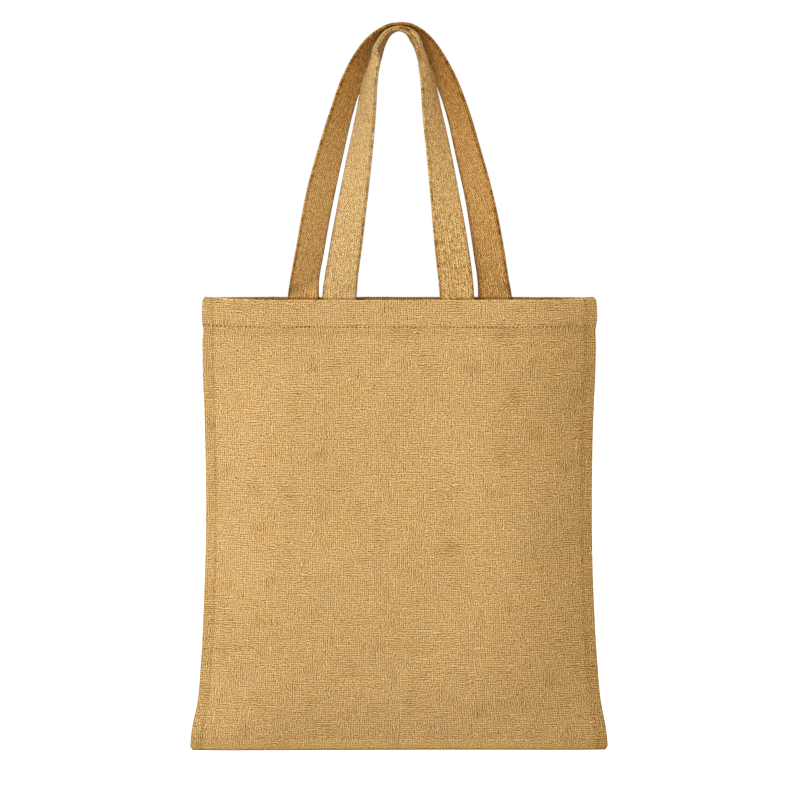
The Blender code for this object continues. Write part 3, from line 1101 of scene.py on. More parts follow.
    def tone(self) -> Array:
        """Darken the cloth a little in its seams and vary it in soft patches; paint shade to its right,
        inside the mouth and along its bottom edge, and paint light on its left.

        Returns:
            Its tone, 1 being plain.
        """
        where = self.where
        tone = 1.0
        for edge, depth, start, run in self.dark_margins:
            tone = tone - depth * (1.0 - ramp(where[edge], start * MM, run * MM))
        for line, depth, reach in self.dark_lines:
            tone = tone - depth * bell(where[line], reach * MM)
        hem = ease(where["hem"] / self.hem_run)
        # Painted shade on the right side, a little less on the hem, and more on the right seam allowance.
        tone = tone - (self.painted_right_shade - self.hem_light * hem) * ramp(self.across, *self.right_run)
        tone = tone - self.painted_band_shade * ramp(self.across, *self.band_run)
        # Painted light on the left side, about the middle of its height.
        middle, reach = self.left_height
        left = ramp(-self.across, *self.left_run) * bell(self.along - middle, reach)
        # Painted shade on the hem's inner layer, inside the mouth.
        over = self.mouth_start[0 if self.side is Side.FRONT else 1]
        inner = ramp(self.along, self.form.bag_height + over * self.form.hem_out, self.mouth_run[0])
        inner = inner * ease(where["inset"] / self.mouth_run[1])
        patches = self.noises(self.patch_noises, self.seed + 5)
        return tone + self.painted_left_light * left + patches - self.painted_mouth_shade * inner

    @cached_property
    def sheet(self) -> SheetGrid:
        """Lay the whole sheet.

        Returns:
            Its grid.
        """
        form = self.form
        x = self.share * form.half_width(self.share, self.height)
        y = form.panel_y(self.side, self.share, self.height) + self.side.value * self.step
        points = np.stack([x, y, form.level_z(self.side, self.share, self.height)], axis=-1)
        sheet = SheetGrid(points, self.across, self.along, self.tone(), form.cloth / 2)
        sheet.points = points + sheet.normals() * self.outward * self.relief()[..., None]
        return sheet

    @property
    def outward(self) -> float:
        """Sign that turns the grid's normals away from the inside of the bag."""
        return -self.side.value

    def laid(self, across: Array, along: Array) -> tuple[Array, Array]:
        """Find places on the finished cloth from its own map.

        Args:
            across: Distances across the cloth from its middle.
            along: Distances along the cloth from its bottom edge.

        Returns:
            Points on the outer face and the directions square to it.
        """
        sheet = self.sheet
        column = np.interp(across, sheet.across[0], np.arange(sheet.across.shape[1]))
        row = np.interp(along, sheet.along[:, 0], np.arange(sheet.along.shape[0]))
        c = np.minimum(column.astype(int), sheet.across.shape[1] - 2)
        r = np.minimum(row.astype(int), sheet.along.shape[0] - 2)
        s = (column - c)[:, None]
        t = (row - r)[:, None]
        found = []
        for field in (sheet.points, sheet.normals()):
            low = field[r, c] * (1 - s) + field[r, c + 1] * s
            high = field[r + 1, c] * (1 - s) + field[r + 1, c + 1] * s
            found.append(low * (1 - t) + high * t)
        square = unit(found[1]) * self.outward
        return found[0] + square * sheet.half, square


# ---------------------------------------------------------------- handles
@dataclass
class Handle:
    """One length of herringbone webbing, sewn inside the hem at both ends."""

    form: BagForm
    side: Side
    thickness: float = 2.8 * MM
    width: float = 33.0 * MM
    hem_gap: float = 0.45 * MM
    station_step: float = 0.9 * MM
    across_step: float = 0.85 * MM
    rib_pitch: float = 2.7 * MM
    chevron: float = 16.5 * MM
    rib: float = 0.16 * MM  # height of the twill's ribs
    tooth: float = 0.12 * MM  # depth of the weft loops at the selvedges
    tooth_pitch: float = 2.3 * MM
    tooth_drift: float = 1.5  # how unevenly the loops follow each other
    drift_run: float = 9 * MM
    waviness: float = 0.15 * MM  # how unevenly the selvedges run
    wave_run: float = 23 * MM
    stray: float = 0.5 * MM  # how far the ribs stray from straight
    stray_run: float = 12 * MM
    yarn_size: tuple = (3 * MM, 4 * MM)  # size of the yarns' unevenness, across and along
    rib_heights: tuple = (0.8, 0.5)  # a rib's usual height, and how far it goes up and down
    edge_run: float = 3 * MM  # run from the edges over which the ribs rise
    nudge: float = 0.5 * MM  # over how much of the route its direction is read
    roughness: float = 0.07 * MM  # unevenness of the yarns

    # The front handle's crease. Along it from the arch's top: its start, the end of its dark part
    # and its whole end, each with a run. From the front edge: the strip that is folded down, the
    # riser beside it and the lip above, each with its soft reach.
    crease_start: tuple = (-1 * MM, 2 * MM)
    crease_deep: tuple = (9 * MM, 5 * MM)
    crease_end: tuple = (12 * MM, 26 * MM)
    strip: tuple = (3.2 * MM, 1.6 * MM)
    riser: tuple = (4.0 * MM, 1.1 * MM)
    lip: tuple = (6.0 * MM, 2.4 * MM)
    strip_drop: float = 1.3 * MM
    lip_rise: float = 0.8 * MM
    crease_painted_tones: tuple = (-0.95, -0.18, 0.05)  # painted shade on the riser's dark part and the riser, painted light on the lip

    # Tones: dashes at the selvedges; painted shade near the arch's top edge, inside the mouth, on the low
    # part and on the back handle's part behind the front one; painted light and shade on the left and right
    # legs.
    dash_shade: float = 0.34
    dash_reach: float = 1.1 * MM
    painted_top_edge_shade: float = 0.12
    top_edge_run: tuple = (15 * MM, 40 * MM)
    painted_mouth_shade: float = 0.40
    mouth_run: tuple = (-1.5 * MM, 1.8 * MM)
    low_run: tuple = (20 * MM, 90 * MM)
    right_run: float = 60.0 * MM
    front_painted_tones: tuple = (0.07, 0.05, 0.05)  # painted shade low down, more on the right; painted light higher on the right
    back_painted_tones: tuple = (0.05, 0.07, 0.02)  # painted shade low on the right; painted light on the left; painted shade on the right
    painted_hidden_shade: float = 0.23
    hidden_run: tuple = (20 * MM, 150 * MM)

    def __post_init__(self) -> None:
        """Measure the route, and space out the rows and columns along and across it."""
        self.seed = HANDLE_SEEDS[self.side]
        self.table = np.array(ROUTES[self.side]).T
        steps = np.linalg.norm(np.diff(self.table[:3].T * MM, axis=0), axis=1)
        self.distances = np.concatenate([[0.0], np.cumsum(steps)])
        distance = np.linspace(0.0, self.length, round(self.length / self.station_step))
        flat_half = self.width / 2 - self.thickness / 2
        across = np.linspace(-flat_half, flat_half, round(2 * flat_half / self.across_step) + 1)
        self.across, self.along = np.meshgrid(across, distance)
        self.past_top = self.along - self.length / 2

    @property
    def length(self) -> float:
        """Length of the webbing."""
        return float(self.distances[-1])

    def centres(self, distance: Array) -> Array:
        """Middle of the webbing at distances along it."""
        columns = [smooth_curve(self.distances, column * MM, distance) for column in self.table[:3]]
        return np.stack(columns, axis=-1)

    def hem_side_y(self, x: Array, height: Array) -> Array:
        """Lay the webbing flat against the inside of the hem.

        Args:
            x: Distance from the bag's middle.
            height: Height above the bottom edge.

        Returns:
            Y of the middle of its thickness.
        """
        form = self.form
        share = x / form.half_width(x, height)
        gap = form.cloth / 2 + self.hem_gap + self.thickness / 2
        return form.panel_y(self.side, share, height) - self.side.value * gap

    def grid(self) -> SheetGrid:
        """Lay the whole length of webbing along its route.

        Returns:
            Its grid.
        """
        form = self.form
        distance = self.along[:, 0]
        centre = self.centres(distance)
        ahead = self.centres(np.minimum(distance + self.nudge, self.length))
        along = unit(ahead - self.centres(np.maximum(distance - self.nudge, 0.0)))
        deep = unit(np.array([0.0, 1.0, 0.0]) - along * along[:, 1:2])
        upward = np.cross(along, deep)
        turn = np.radians(smooth_curve(self.distances, self.table[3], distance))[:, None]
        cup = np.radians(smooth_curve(self.distances, self.table[4], distance))
        side = self.side.value
        width_way = (np.sin(turn) * deep - side * np.cos(turn) * upward)[:, None, :]
        crown_way = (np.sin(turn) * upward + side * np.cos(turn) * deep)[:, None, :]
        radius = (self.width / np.maximum(cup, 0.01))[:, None]
        bend = self.across / radius
        points = centre[:, None, :] + (radius * np.sin(bend))[..., None] * width_way
        points = points - (radius * (1.0 - np.cos(bend)))[..., None] * crown_way
        square = np.sin(bend)[..., None] * width_way + np.cos(bend)[..., None] * crown_way
        rise, crease_paint = self.crease()
        points = points + square * rise[..., None]
        free = ramp(points[..., 2] - form.rim_z, *FREE_RANGES[self.side])
        hem_y = self.hem_side_y(points[..., 0], np.minimum(points[..., 2] - form.bottom_z, form.bag_height))
        points[..., 1] += (1.0 - free) * (hem_y - points[..., 1])
        self.add_teeth(points)
        # The tone holds painted light and shade from the mouth, the legs, the crease and the edges' top,
        # and the selvedges' dashes.
        tone = 1.0 + self.shade(points[..., 2] - form.rim_z) + crease_paint + self.selvedge_tone()
        return SheetGrid(points, self.across, self.along, tone, self.thickness / 2, edge_steps=4,
                         proud=self.ribs())

    def crease(self) -> tuple[Array, Array]:
        """Fold the front handle beside its front edge, where it turns over its top.

        Returns:
            How far the fold lifts or lowers each place, and the painted shade and light that go with it.
        """
        start = ramp(self.past_top, *self.crease_start) * (1.0 if self.side is Side.FRONT else 0.0)
        deep = start * (1.0 - ramp(self.past_top, *self.crease_deep))
        fold = start * (1.0 - ramp(self.past_top, *self.crease_end))
        inset = self.across + self.width / 2
        strip = 1.0 - ramp(inset, *self.strip)
        riser = bell(inset - self.riser[0], self.riser[1])
        lip = bell(inset - self.lip[0], self.lip[1])
        deep_tone, riser_tone, lip_tone = self.crease_painted_tones
        rise = fold * (self.lip_rise * lip - self.strip_drop * strip)
        return rise, deep_tone * deep * riser + riser_tone * fold * riser + lip_tone * fold * lip

    def selvedge_tone(self) -> Array:
        """Darken the edges in dashes where the weft turns back, with painted shade on them near the arch's
        top.

        Returns:
            Change of tone.
        """
        dashes = soft_noise(self.along / self.tooth_pitch, np.sign(self.across) * 3.0, self.seed + 4)
        to_edge = (self.width - self.thickness) / 2 - np.abs(self.across)
        # Painted shade on the edges near the arch's top.
        top = 1.0 - ramp(np.abs(self.past_top), *self.top_edge_run)
        depth = EDGE_SHADES[self.side] + self.painted_top_edge_shade * top
        return -(depth + self.dash_shade * np.maximum(dashes, 0.0)) * bell(to_edge, self.dash_reach)

    def shade(self, over_rim: Array) -> Array:
        """Paint shade on the handle in the mouth and low down, and on the back one where the front one
        hides it, and paint light and shade on its two legs.

        Args:
            over_rim: Each point's height over the rim.

        Returns:
            Change of tone.
        """
        mouth = self.painted_mouth_shade * (1.0 - ramp(over_rim, *self.mouth_run))
        low = 1.0 - ramp(over_rim, *self.low_run)
        right = ease(self.past_top / self.right_run)
        hidden = 1.0 - ramp(np.abs(self.past_top), *self.hidden_run)
        if self.side is Side.FRONT:
            low_all, low_right, high_right = self.front_painted_tones
            return -mouth - (low_all + low_right * right) * low + high_right * right * (1.0 - low)
        low_right, left, right_side = self.back_painted_tones
        shade = -mouth - low_right * low * right - self.painted_hidden_shade * hidden
        return shade + left * (1.0 - right) - right_side * right

    def painted_shade_stretch(self) -> tuple[float, float, float]:
        """Say where the webbing's colour is painted as in shade: the front one past its top, the back one
        near it.

        Returns:
            A place along it, and the distances from there at which none and all of it is painted so.
        """
        top = self.length / 2
        if self.side is Side.FRONT:
            return 0.0, top - 10 * MM, top + 40 * MM
        return top, 150 * MM, 20 * MM

    def add_teeth(self, points: Array) -> None:
        """Push the selvedges in and out where the weft turns round the outermost yarn.

        Args:
            points: The webbing's points, which are changed.
        """
        distance = self.along[:, 0]
        drift = self.tooth_drift * soft_noise(distance / self.drift_run, distance * 0.0, self.seed + 8)
        wave = soft_noise(distance / self.wave_run, distance * 0.0 + 0.5, self.seed + 9)
        tooth = self.tooth * np.sin(2 * math.pi * distance / self.tooth_pitch + drift)
        tooth = tooth + self.waviness * wave
        for edge, inner in ((0, 2), (-1, -3)):
            out = unit(points[:, edge] - points[:, inner])
            points[:, edge] += out * tooth[:, None]

    def ribs(self) -> Array:
        """Raise the slanted ribs.

        Returns:
            How far they stand proud of both faces.
        """
        across, along = self.across, self.along
        stray = soft_noise(across / self.stray_run, along / self.stray_run, self.seed) * self.stray
        folded = np.abs((across / self.chevron) % 1.0 - 0.5) * self.chevron
        wave = np.cos(2 * math.pi * (along + folded + stray) / self.rib_pitch)
        wide, high = self.yarn_size
        uneven = soft_noise(across / wide, along / high, self.seed + 1)
        usual, swing = self.rib_heights
        inside = ease((self.width / 2 - np.abs(across)) / self.edge_run)
        return (self.rib * wave * (usual + swing * uneven) + self.roughness * uneven) * inside


HANDLE_SEEDS = {Side.FRONT: 40, Side.BACK: 60}
PANEL_SEEDS = {Side.FRONT: 100, Side.BACK: 200}

# How much darker each handle's edges are.
EDGE_SHADES = {Side.FRONT: 0.22, Side.BACK: 0.32}

# Colours of the webbing, plain and in painted shade, in steps of 255 as on a screen.
WEBBING_COLOURS = {
    Side.FRONT: ((203.0, 169.0, 115.0), (207.0, 168.0, 107.0)),
    # The back handle's plain colour is darker and richer than the front's: partly its own colour, partly
    # painted shade, as it hangs behind the front one.
    Side.BACK: ((195.0, 150.0, 85.0), (202.0, 153.0, 77.0)),
}

# How far above the rim each handle starts to leave the hem's face, and over what run.
FREE_RANGES = {Side.FRONT: (2.0 * MM, 14.0 * MM), Side.BACK: (0.0, 14.0 * MM)}

# Routes of the handles' middles from their left to their right ends: x, y, z in mm, then the
# turn (0 faces the front, 90 has its width front to back) and the bend of the cross-section,
# both in degrees.
FRONT_ROUTE = (
    (-57.5, -12.5, -285.0, 0.0, 0.0),
    (-57.5, -12.5, -254.0, 0.0, 0.0),
    (-56.2, -12.4, -240.0, 12.0, 0.0),
    (-51.6, -12.0, -208.0, 22.0, 0.0),
    (-44.4, -10.6, -160.0, 34.0, 4.0),
    (-37.3, -9.0, -112.5, 46.5, 8.0),
    (-32.2, -7.6, -74.5, 58.0, 14.0),
    (-29.4, -6.8, -46.0, 66.0, 26.0),
    (-28.2, -6.4, -36.0, 72.0, 55.0),
    (-27.4, -6.2, -30.5, 79.0, 96.0),
    (-26.0, -6.0, -25.0, 90.0, 132.0),
    (-24.0, -5.8, -18.0, 101.0, 84.0),
    (-19.6, -5.6, -9.0, 98.0, 70.0),
    (-11.6, -5.4, 0.4, 94.0, 50.0),
    (-1.0, -5.4, 3.7, 90.0, 32.0),
    (8.6, -5.4, 2.4, 92.0, 62.0),
    (16.8, -5.6, -3.8, 97.0, 96.0),
    (19.6, -5.7, -9.4, 95.0, 92.0),
    (22.2, -5.8, -18.0, 93.0, 84.0),
    (25.2, -6.0, -25.0, 90.0, 116.0),
    (26.6, -6.2, -31.0, 79.0, 84.0),
    (27.8, -6.4, -37.0, 70.0, 50.0),
    (28.8, -6.8, -47.0, 67.0, 32.0),
    (31.6, -7.6, -74.5, 57.5, 14.0),
    (37.4, -9.0, -112.5, 46.5, 8.0),
    (43.9, -10.6, -160.0, 32.0, 4.0),
    (50.1, -12.0, -208.0, 12.0, 0.0),
    (54.0, -12.4, -240.0, 1.0, 0.0),
    (55.0, -12.5, -254.0, 0.0, 0.0),
    (55.0, -12.5, -285.0, 0.0, 0.0),
)
BACK_ROUTE = (
    (-93.0, 12.0, -285.0, 0.0, 0.0),
    (-92.4, 12.0, -256.0, 22.0, 0.0),
    (-91.6, 11.6, -242.0, 33.0, 0.0),
    (-85.8, 10.8, -208.0, 36.5, 0.0),
    (-77.0, 9.8, -160.0, 36.5, 0.0),
    (-65.6, 9.0, -112.5, 44.0, 4.0),
    (-55.2, 8.4, -74.5, 52.0, 8.0),
    (-45.4, 7.8, -46.0, 55.0, 8.0),
    (-35.4, 7.4, -26.0, 58.0, 8.0),
    (-27.0, 7.0, -12.6, 64.0, 8.0),
    (-17.4, 6.8, -1.4, 75.0, 8.0),
    (-9.4, 6.6, 5.2, 86.0, 6.0),
    (0.0, 6.6, 7.4, 90.0, 6.0),
    (9.8, 6.6, 6.0, 87.0, 6.0),
    (18.0, 6.8, -0.8, 76.0, 8.0),
    (26.4, 7.0, -12.2, 64.0, 8.0),
    (34.6, 7.4, -26.0, 58.0, 8.0),
    (44.8, 7.8, -46.0, 55.0, 8.0),
    (55.4, 8.4, -74.5, 51.5, 8.0),
    (65.4, 9.0, -112.5, 44.0, 4.0),
    (77.0, 9.8, -160.0, 35.5, 0.0),
    (85.6, 10.8, -208.0, 28.0, 0.0),
    (90.6, 11.6, -242.0, 22.0, 0.0),
    (92.0, 12.0, -256.0, 4.0, 0.0),
    (92.0, 12.0, -285.0, 0.0, 0.0),
)
ROUTES = {Side.FRONT: FRONT_ROUTE, Side.BACK: BACK_ROUTE}


# ---------------------------------------------------------------- what repeats
class Growth(Nodes):
    """A Geometry Nodes tree that grows small pieces on points or faces."""

    def __init__(self, name: str) -> None:
        """Start a tree with one geometry in and one out.

        Args:
            name: Name of the tree.
        """
        super().__init__(bpy.data.node_groups.new(name, "GeometryNodeTree"))
        self.values: dict[str, float | int] = {}
        self.start = self.add("NodeGroupInput")
        self.end = self.add("NodeGroupOutput")
        for way in ("INPUT", "OUTPUT"):
            self.tree.interface.new_socket("Geometry", in_out=way, socket_type="NodeSocketGeometry")

    def size(self, name: str, value: float | int) -> Wire:
        """Add a named input to the tree.

        Args:
            name: Name of the input.
            value: Its value.

        Returns:
            The wire that carries it.
        """
        kind = "NodeSocketInt" if isinstance(value, int) else "NodeSocketFloat"
        socket = self.tree.interface.new_socket(name, in_out="INPUT", socket_type=kind)
        self.values[socket.identifier] = value
        return Wire(self, self.start.outputs[name])

    def spread(self, low: Wire | float, high: Wire | float, seed: Wire | int) -> Socket:
        """A random number for each point, between two others."""
        node = self.add("FunctionNodeRandomValue", {2: low, 3: high, "Seed": seed}, data_type="FLOAT")
        return node.outputs[1]

    def rod(self, start: tuple | Socket, middle: tuple | Socket, end: tuple | Socket, radius: Wire,
            steps: int, sides: int) -> Socket:
        """Make a closed rod along an arc.

        Args:
            start: Where the arc starts.
            middle: Where it is drawn to on its way.
            end: Where it ends.
            radius: Radius of the rod.
            steps: Pieces along it.
            sides: Sides of its section.

        Returns:
            The rod's geometry.
        """
        arc = self.add("GeometryNodeCurveQuadraticBezier", {
            "Resolution": steps, "Start": start, "Middle": middle, "End": end})
        section = self.add("GeometryNodeCurvePrimitiveCircle", {"Resolution": sides, "Radius": radius})
        return self.add("GeometryNodeCurveToMesh", {
            "Curve": arc.outputs[0], "Profile Curve": section.outputs["Curve"],
            "Fill Caps": True}).outputs[0]

    def turned(self, rotation: Socket, turns: Socket) -> Socket:
        """Add turns about its own axes to a rotation.

        Args:
            rotation: The rotation.
            turns: Angles about X, Y and Z.

        Returns:
            The new rotation.
        """
        added = self.add("FunctionNodeEulerToRotation", {0: turns})
        return self.add("FunctionNodeRotateRotation", {
            "Rotation": rotation, "Rotate By": added.outputs[0]}, rotation_space="LOCAL").outputs[0]

    def grow(self, points: Socket, piece: Socket, rotation: Socket, scale: Socket,
             material: Material) -> None:
        """Put a small piece on every point, and make that the tree's result.

        Args:
            points: The points.
            piece: The small piece.
            rotation: How it is turned at each point.
            scale: How it is stretched there.
            material: Its finish.
        """
        placed = self.add("GeometryNodeInstanceOnPoints", {
            "Points": points, "Instance": piece, "Rotation": rotation, "Scale": scale})
        real = self.add("GeometryNodeRealizeInstances", {"Geometry": placed.outputs[0]})
        dressed = self.add("GeometryNodeSetMaterial", {"Geometry": real.outputs[0], "Material": material})
        self.feed(self.end, {0: dressed.outputs[0]})

    def harvest(self, name: str, base: bpy.types.Mesh) -> bpy.types.Object:
        """Run the tree on a mesh and keep the result as a plain mesh object.

        Args:
            name: Name of the new piece.
            base: Mesh that the tree grows from, which is used up.

        Returns:
            The new piece, without modifiers.
        """
        carrier = add_object(name + "_base", base)
        modifier = carrier.modifiers.new("growth", "NODES")
        modifier.node_group = self.tree
        for identifier, value in self.values.items():
            modifier[identifier] = value
        depsgraph = bpy.context.evaluated_depsgraph_get()
        mesh = bpy.data.meshes.new_from_object(carrier.evaluated_get(depsgraph))
        bpy.data.objects.remove(carrier, do_unlink=True)
        mesh.name = name
        mesh.shade_smooth()
        return add_object(name, mesh)


@dataclass(frozen=True)
class Stitching:
    """The lines of stitches that show on one panel."""

    panel: Panel
    pitch: float = 4.1 * MM
    thread: float = 0.85 * MM  # thickness of the sewing thread
    show: float = 2.9 * MM  # length of thread that shows between two holes
    crown: float = 0.35 * MM  # height of a stitch's middle over the cloth
    rise: tuple = (-1.6, 2.2)  # heights of its ends and of its bend, in crowns
    stray: float = 0.22 * MM  # how far stitches stray from their line
    slant: float = 0.16  # how far they turn from it, in radians
    lengths: tuple = (0.88, 1.1)  # shortest and longest stitch, in usual ones
    widths: tuple = (0.85, 1.15)
    seed: int = 5

    def lines(self) -> list[tuple[Array, Array]]:
        """Places of the stitches on the cloth's map.

        Returns:
            Distances across and along the cloth, one pair of arrays for each line.
        """
        form = self.panel.form
        inner_line = self.panel.sheet.along[-1, 0] - form.hem_stitch
        level = np.arange(-form.side_line + 2 * MM, form.side_line - 1 * MM, self.pitch)
        upright = np.arange(form.bottom_seam, form.bag_height - 2 * MM, self.pitch)
        heights = (form.bottom_seam, form.hem_line, inner_line)
        made = [(level, np.full_like(level, height)) for height in heights]
        return made + [(np.full_like(upright, x), upright) for x in (-form.side_line, form.side_line)]

    def base(self, name: str) -> bpy.types.Mesh:
        """Make points at the middles of the stitches, which carry their directions.

        Args:
            name: Name of the new mesh.

        Returns:
            The mesh.
        """
        random = np.random.default_rng(self.seed)
        found = {"place": [], "way": [], "square": []}
        for across, along in self.lines():
            across = across + random.uniform(-self.stray, self.stray, len(across))
            along = along + random.uniform(-self.stray, self.stray, len(along))
            points, square = self.panel.laid(across, along)
            found["place"].append(points)
            found["way"].append(unit(np.gradient(points, axis=0)))
            found["square"].append(square)
        fields = {key: np.concatenate(parts).astype(np.float32) for key, parts in found.items()}
        mesh = bpy.data.meshes.new(name)
        mesh.vertices.add(len(fields["place"]))
        mesh.vertices.foreach_set("co", fields["place"].ravel())
        for key in ("way", "square"):
            data = mesh.attributes.new(key, "FLOAT_VECTOR", "POINT").data
            data.foreach_set("vector", fields[key].ravel())
        return mesh

    def build(self, name: str, material: Material) -> bpy.types.Object:
        """Grow the stitches.

        Args:
            name: Name of the piece.
            material: The sewing thread's finish.

        Returns:
            The finished piece.
        """
        growth = Growth("stitches")
        show = growth.size("Stitch length", self.show)
        thread = growth.size("Thread thickness", self.thread)
        crown = growth.size("Crown height", self.crown)
        seed = growth.size("Seed", self.seed)
        low, high = (crown * part for part in self.rise)
        stitch = growth.rod(growth.vector(show * -0.5, 0.0, low), growth.vector(0.0, 0.0, high),
                            growth.vector(show * 0.5, 0.0, low), thread * 0.5, steps=5, sides=6)
        way, square = (growth.add("GeometryNodeInputNamedAttribute", {"Name": key},
                                  data_type="FLOAT_VECTOR").outputs[0] for key in ("way", "square"))
        facing = growth.add("FunctionNodeAxesToRotation", {"Primary Axis": square, "Secondary Axis": way},
                            primary_axis="Z", secondary_axis="X")
        slant = growth.vector(0.0, 0.0, growth.spread(-self.slant, self.slant, seed))
        stretch = growth.vector(growth.spread(*self.lengths, seed), growth.spread(*self.widths, seed), 1.0)
        growth.grow(growth.start.outputs[0], stitch, growth.turned(facing.outputs[0], slant), stretch,
                    material)
        return growth.harvest(name, self.base(name + "_places"))


@dataclass(frozen=True)
class LooseFibres:
    """Short fibre ends that stand off a sheet of jute."""

    seed: int
    density: float = 7000.0  # fibres to a square metre
    longest: float = 5.5 * MM
    shortest: float = 1.6 * MM
    thickness: float = 0.10 * MM
    radius: float = 0.66  # their radius before they are stretched, in thicknesses
    arc: tuple = ((0.0, 0.0, -0.08), (0.35, 0.05, 0.42), (1.0, -0.1, 0.28))  # in lengths
    tilt: float = 0.5  # how far they lean, in radians

    def build(self, name: str, sheet: bpy.types.Object, material: Material) -> bpy.types.Object:
        """Grow the fibres on a finished sheet.

        Args:
            name: Name of the piece.
            sheet: The sheet that they stand on.
            material: The fibres' finish.

        Returns:
            The finished piece.
        """
        growth = Growth("loose_fibres")
        density = growth.size("Density", self.density)
        longest = growth.size("Longest", self.longest)
        shortest = growth.size("Shortest", self.shortest)
        girth = growth.size("Thickness", self.thickness / self.longest)
        seed = growth.size("Seed", self.seed)
        roots = growth.add("GeometryNodeDistributePointsOnFaces", {
            "Mesh": growth.start.outputs[0], "Density": density, "Seed": seed},
            distribute_method="RANDOM")
        fibre = growth.rod(*self.arc, girth * self.radius, steps=4, sides=3)
        lean_x, lean_y = (growth.spread(-self.tilt, self.tilt, turn_seed) for turn_seed in (3, 4))
        spin = growth.vector(lean_x, lean_y, growth.spread(0.0, 2 * math.pi, seed))
        length = growth.spread(shortest, longest, seed)
        growth.grow(roots.outputs[0], fibre, growth.turned(roots.outputs["Rotation"], spin),
                    growth.vector(length, length, length), material)
        return growth.harvest(name, sheet.data.copy())


# ---------------------------------------------------------------- studio
def look_along(direction: Array) -> tuple:
    """Turns that point an object's -Z along a direction, with its +Y up."""
    x, y, z = direction
    return (math.atan2(math.hypot(x, y), -z), 0.0, math.atan2(-x, y))


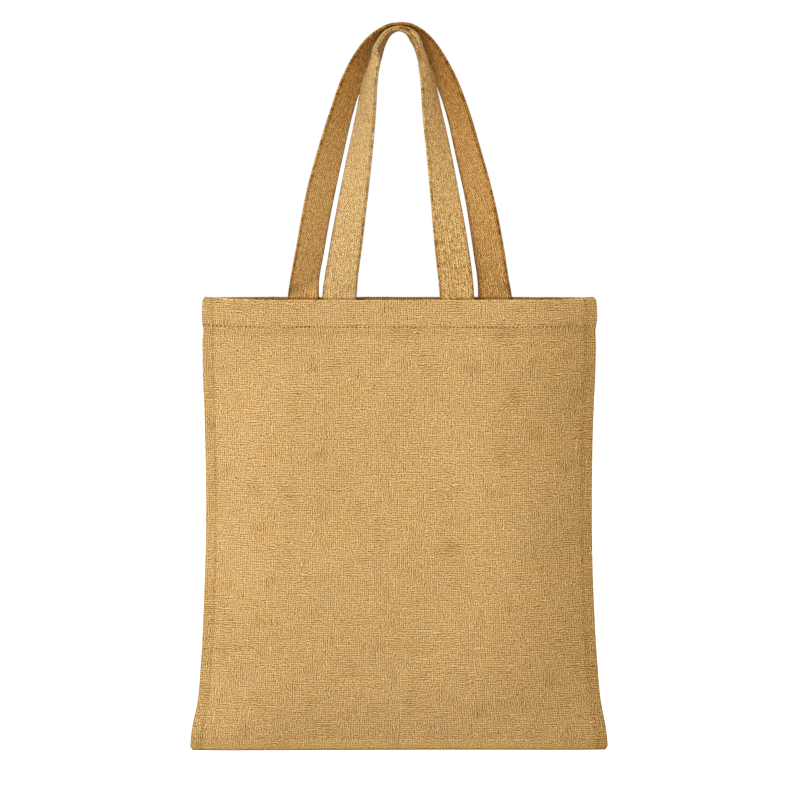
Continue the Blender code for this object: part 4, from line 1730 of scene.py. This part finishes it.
@dataclass(frozen=True)
class Studio:
    """Pale floor, soft light and the camera."""

    floor_z: float = -1.30
    floor_half: float = 14.0
    centre: tuple = (-0.0014, 0.0, -0.3499)
    distance: float = 3.2
    elevation: float = 4.0
    half_view: float = 0.382  # half the width that the view takes in at the bag
    film: float = 36.0  # width of the camera's sensor in mm
    sky: float = 0.66  # light that comes from above, all round
    ground: float = 0.40  # light that comes from below
    horizon: tuple = (0.9, 0.5)  # how fast one turns into the other, and how much is sky
    lean: float = 0.25  # how much stronger the light is from the left
    warmth: tuple = (1.0, 0.86, 0.64)  # colour of the light that comes from all round
    lamp_place: tuple = (-0.68, -3.0, 0.6)
    lamp_target: tuple = (0.0, 0.0, -0.38)
    lamp_size: float = 2.2
    lamp_power: float = 76.0
    lamp_colour: tuple = (0.90, 0.94, 1.0)

    def build(self) -> None:
        """Set up the floor, the surroundings, the camera and the lamp."""
        self.build_floor()
        self.build_world()
        self.build_camera()
        self.build_lamp()
        bpy.context.scene.view_settings.view_transform = "Standard"

    def build_floor(self) -> None:
        """Make the floor, which lies well below the hanging bag."""
        bpy.ops.mesh.primitive_grid_add(x_subdivisions=8, y_subdivisions=8, size=2 * self.floor_half,
                                        location=(0.0, 0.0, self.floor_z))
        floor = bpy.context.object
        floor.name = "floor"
        finish = Finish("pale_floor")
        finish.feed(finish.shader, {
            "Base Color": (0.70, 0.70, 0.70, 1.0), "Roughness": 0.95, "Specular IOR Level": 0.1,
            "Emission Color": (1.0, 1.0, 1.0, 1.0), "Emission Strength": 0.90})
        floor.data.materials.append(finish.material)
        floor.visible_diffuse = False

    def build_world(self) -> None:
        """Surround the bag with soft light, a little stronger from above."""
        world = bpy.data.worlds.new("studio")
        bpy.context.scene.world = world
        world.use_nodes = True
        nodes = Nodes(world.node_tree)
        x, _, z = nodes.parts(nodes.add("ShaderNodeTexCoord").outputs["Generated"])
        light = z.share(*self.horizon) * (self.sky - self.ground) + self.ground
        light = light * (1.0 - x * self.lean)
        camera = Wire(nodes, nodes.add("ShaderNodeLightPath").outputs["Is Camera Ray"])
        nodes.feed(world.node_tree.nodes["Background"], {
            "Strength": camera * (1.0 - light) + light,
            "Color": nodes.blend(camera, (*self.warmth, 1.0), (1.0, 1.0, 1.0, 1.0))})

    def build_camera(self) -> None:
        """Point the camera at the front of the bag from a little above its middle."""
        rise = math.radians(self.elevation)
        away = np.array([0.0, -math.cos(rise), math.sin(rise)])
        data = bpy.data.cameras.new("camera")
        data.sensor_width = self.film
        data.lens = self.film / 2 / (self.half_view / self.distance)
        camera = add_object("camera", data)
        camera.location = np.array(self.centre) + away * self.distance
        camera.rotation_euler = look_along(-away)
        bpy.context.scene.camera = camera

    def build_lamp(self) -> None:
        """Hang the one soft lamp, to the left of the camera."""
        data = bpy.data.lights.new("key_lamp", "AREA")
        data.shape = "SQUARE"
        data.size = self.lamp_size
        data.energy = self.lamp_power
        data.color = self.lamp_colour
        lamp = add_object("key_lamp", data)
        lamp.location = self.lamp_place
        lamp.rotation_euler = look_along(np.array(self.lamp_target) - np.array(self.lamp_place))


# ---------------------------------------------------------------- the whole
def dress(piece: bpy.types.Object, node: str | None = None) -> None:
    """Report a piece, let it ride on the part, and let it stand for its solid.

    Args:
        piece: The piece.
        node: Name of the solid that it replaces, if it replaces one.
    """
    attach(piece, "root")
    if node:
        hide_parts(node)
    LOG.info("%s: %d faces", piece.name, len(piece.data.polygons))


def main() -> None:
    """Build the tote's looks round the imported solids."""
    logging.basicConfig(level=logging.INFO, format="%(name)s: %(message)s")
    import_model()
    Studio().build()
    form = BagForm()
    seams = ((form.bottom_seam, BOTTOM_HOLES), (form.hem_line, HEM_HOLES))
    cloth = JuteCloth(seams, form.side_line).material("jute_cloth")
    thread = SEWING_THREAD.material("jute_thread")
    fibre = FIBRE.material("jute_fibre")

    for side in Side:
        handle = Handle(form, side)
        finish = JuteWebbing(handle.rib_pitch, handle.chevron, *WEBBING_COLOURS[side], *handle.painted_shade_stretch())
        webbing = finish.material(f"{side.word}_webbing")
        piece = handle.grid().build(f"{side.word}_handle_webbing", webbing)
        dress(piece, f"{side.word}_handle")

    for side in Side:
        panel = Panel(form, side, PANEL_SEEDS[side])
        piece = panel.sheet.build(f"{side.word}_panel_cloth", cloth)
        dress(piece, f"{side.word}_panel")
        stitches = Stitching(panel).build(f"{side.word}_stitches", thread)
        dress(stitches)
        fibres = LooseFibres(seed=panel.seed).build(f"{side.word}_loose_fibres", piece, fibre)
        dress(fibres)
        flat = (2 * form.nominal_half_width, float(panel.sheet.along[-1, 0]))


if __name__ == "__main__":
    main()
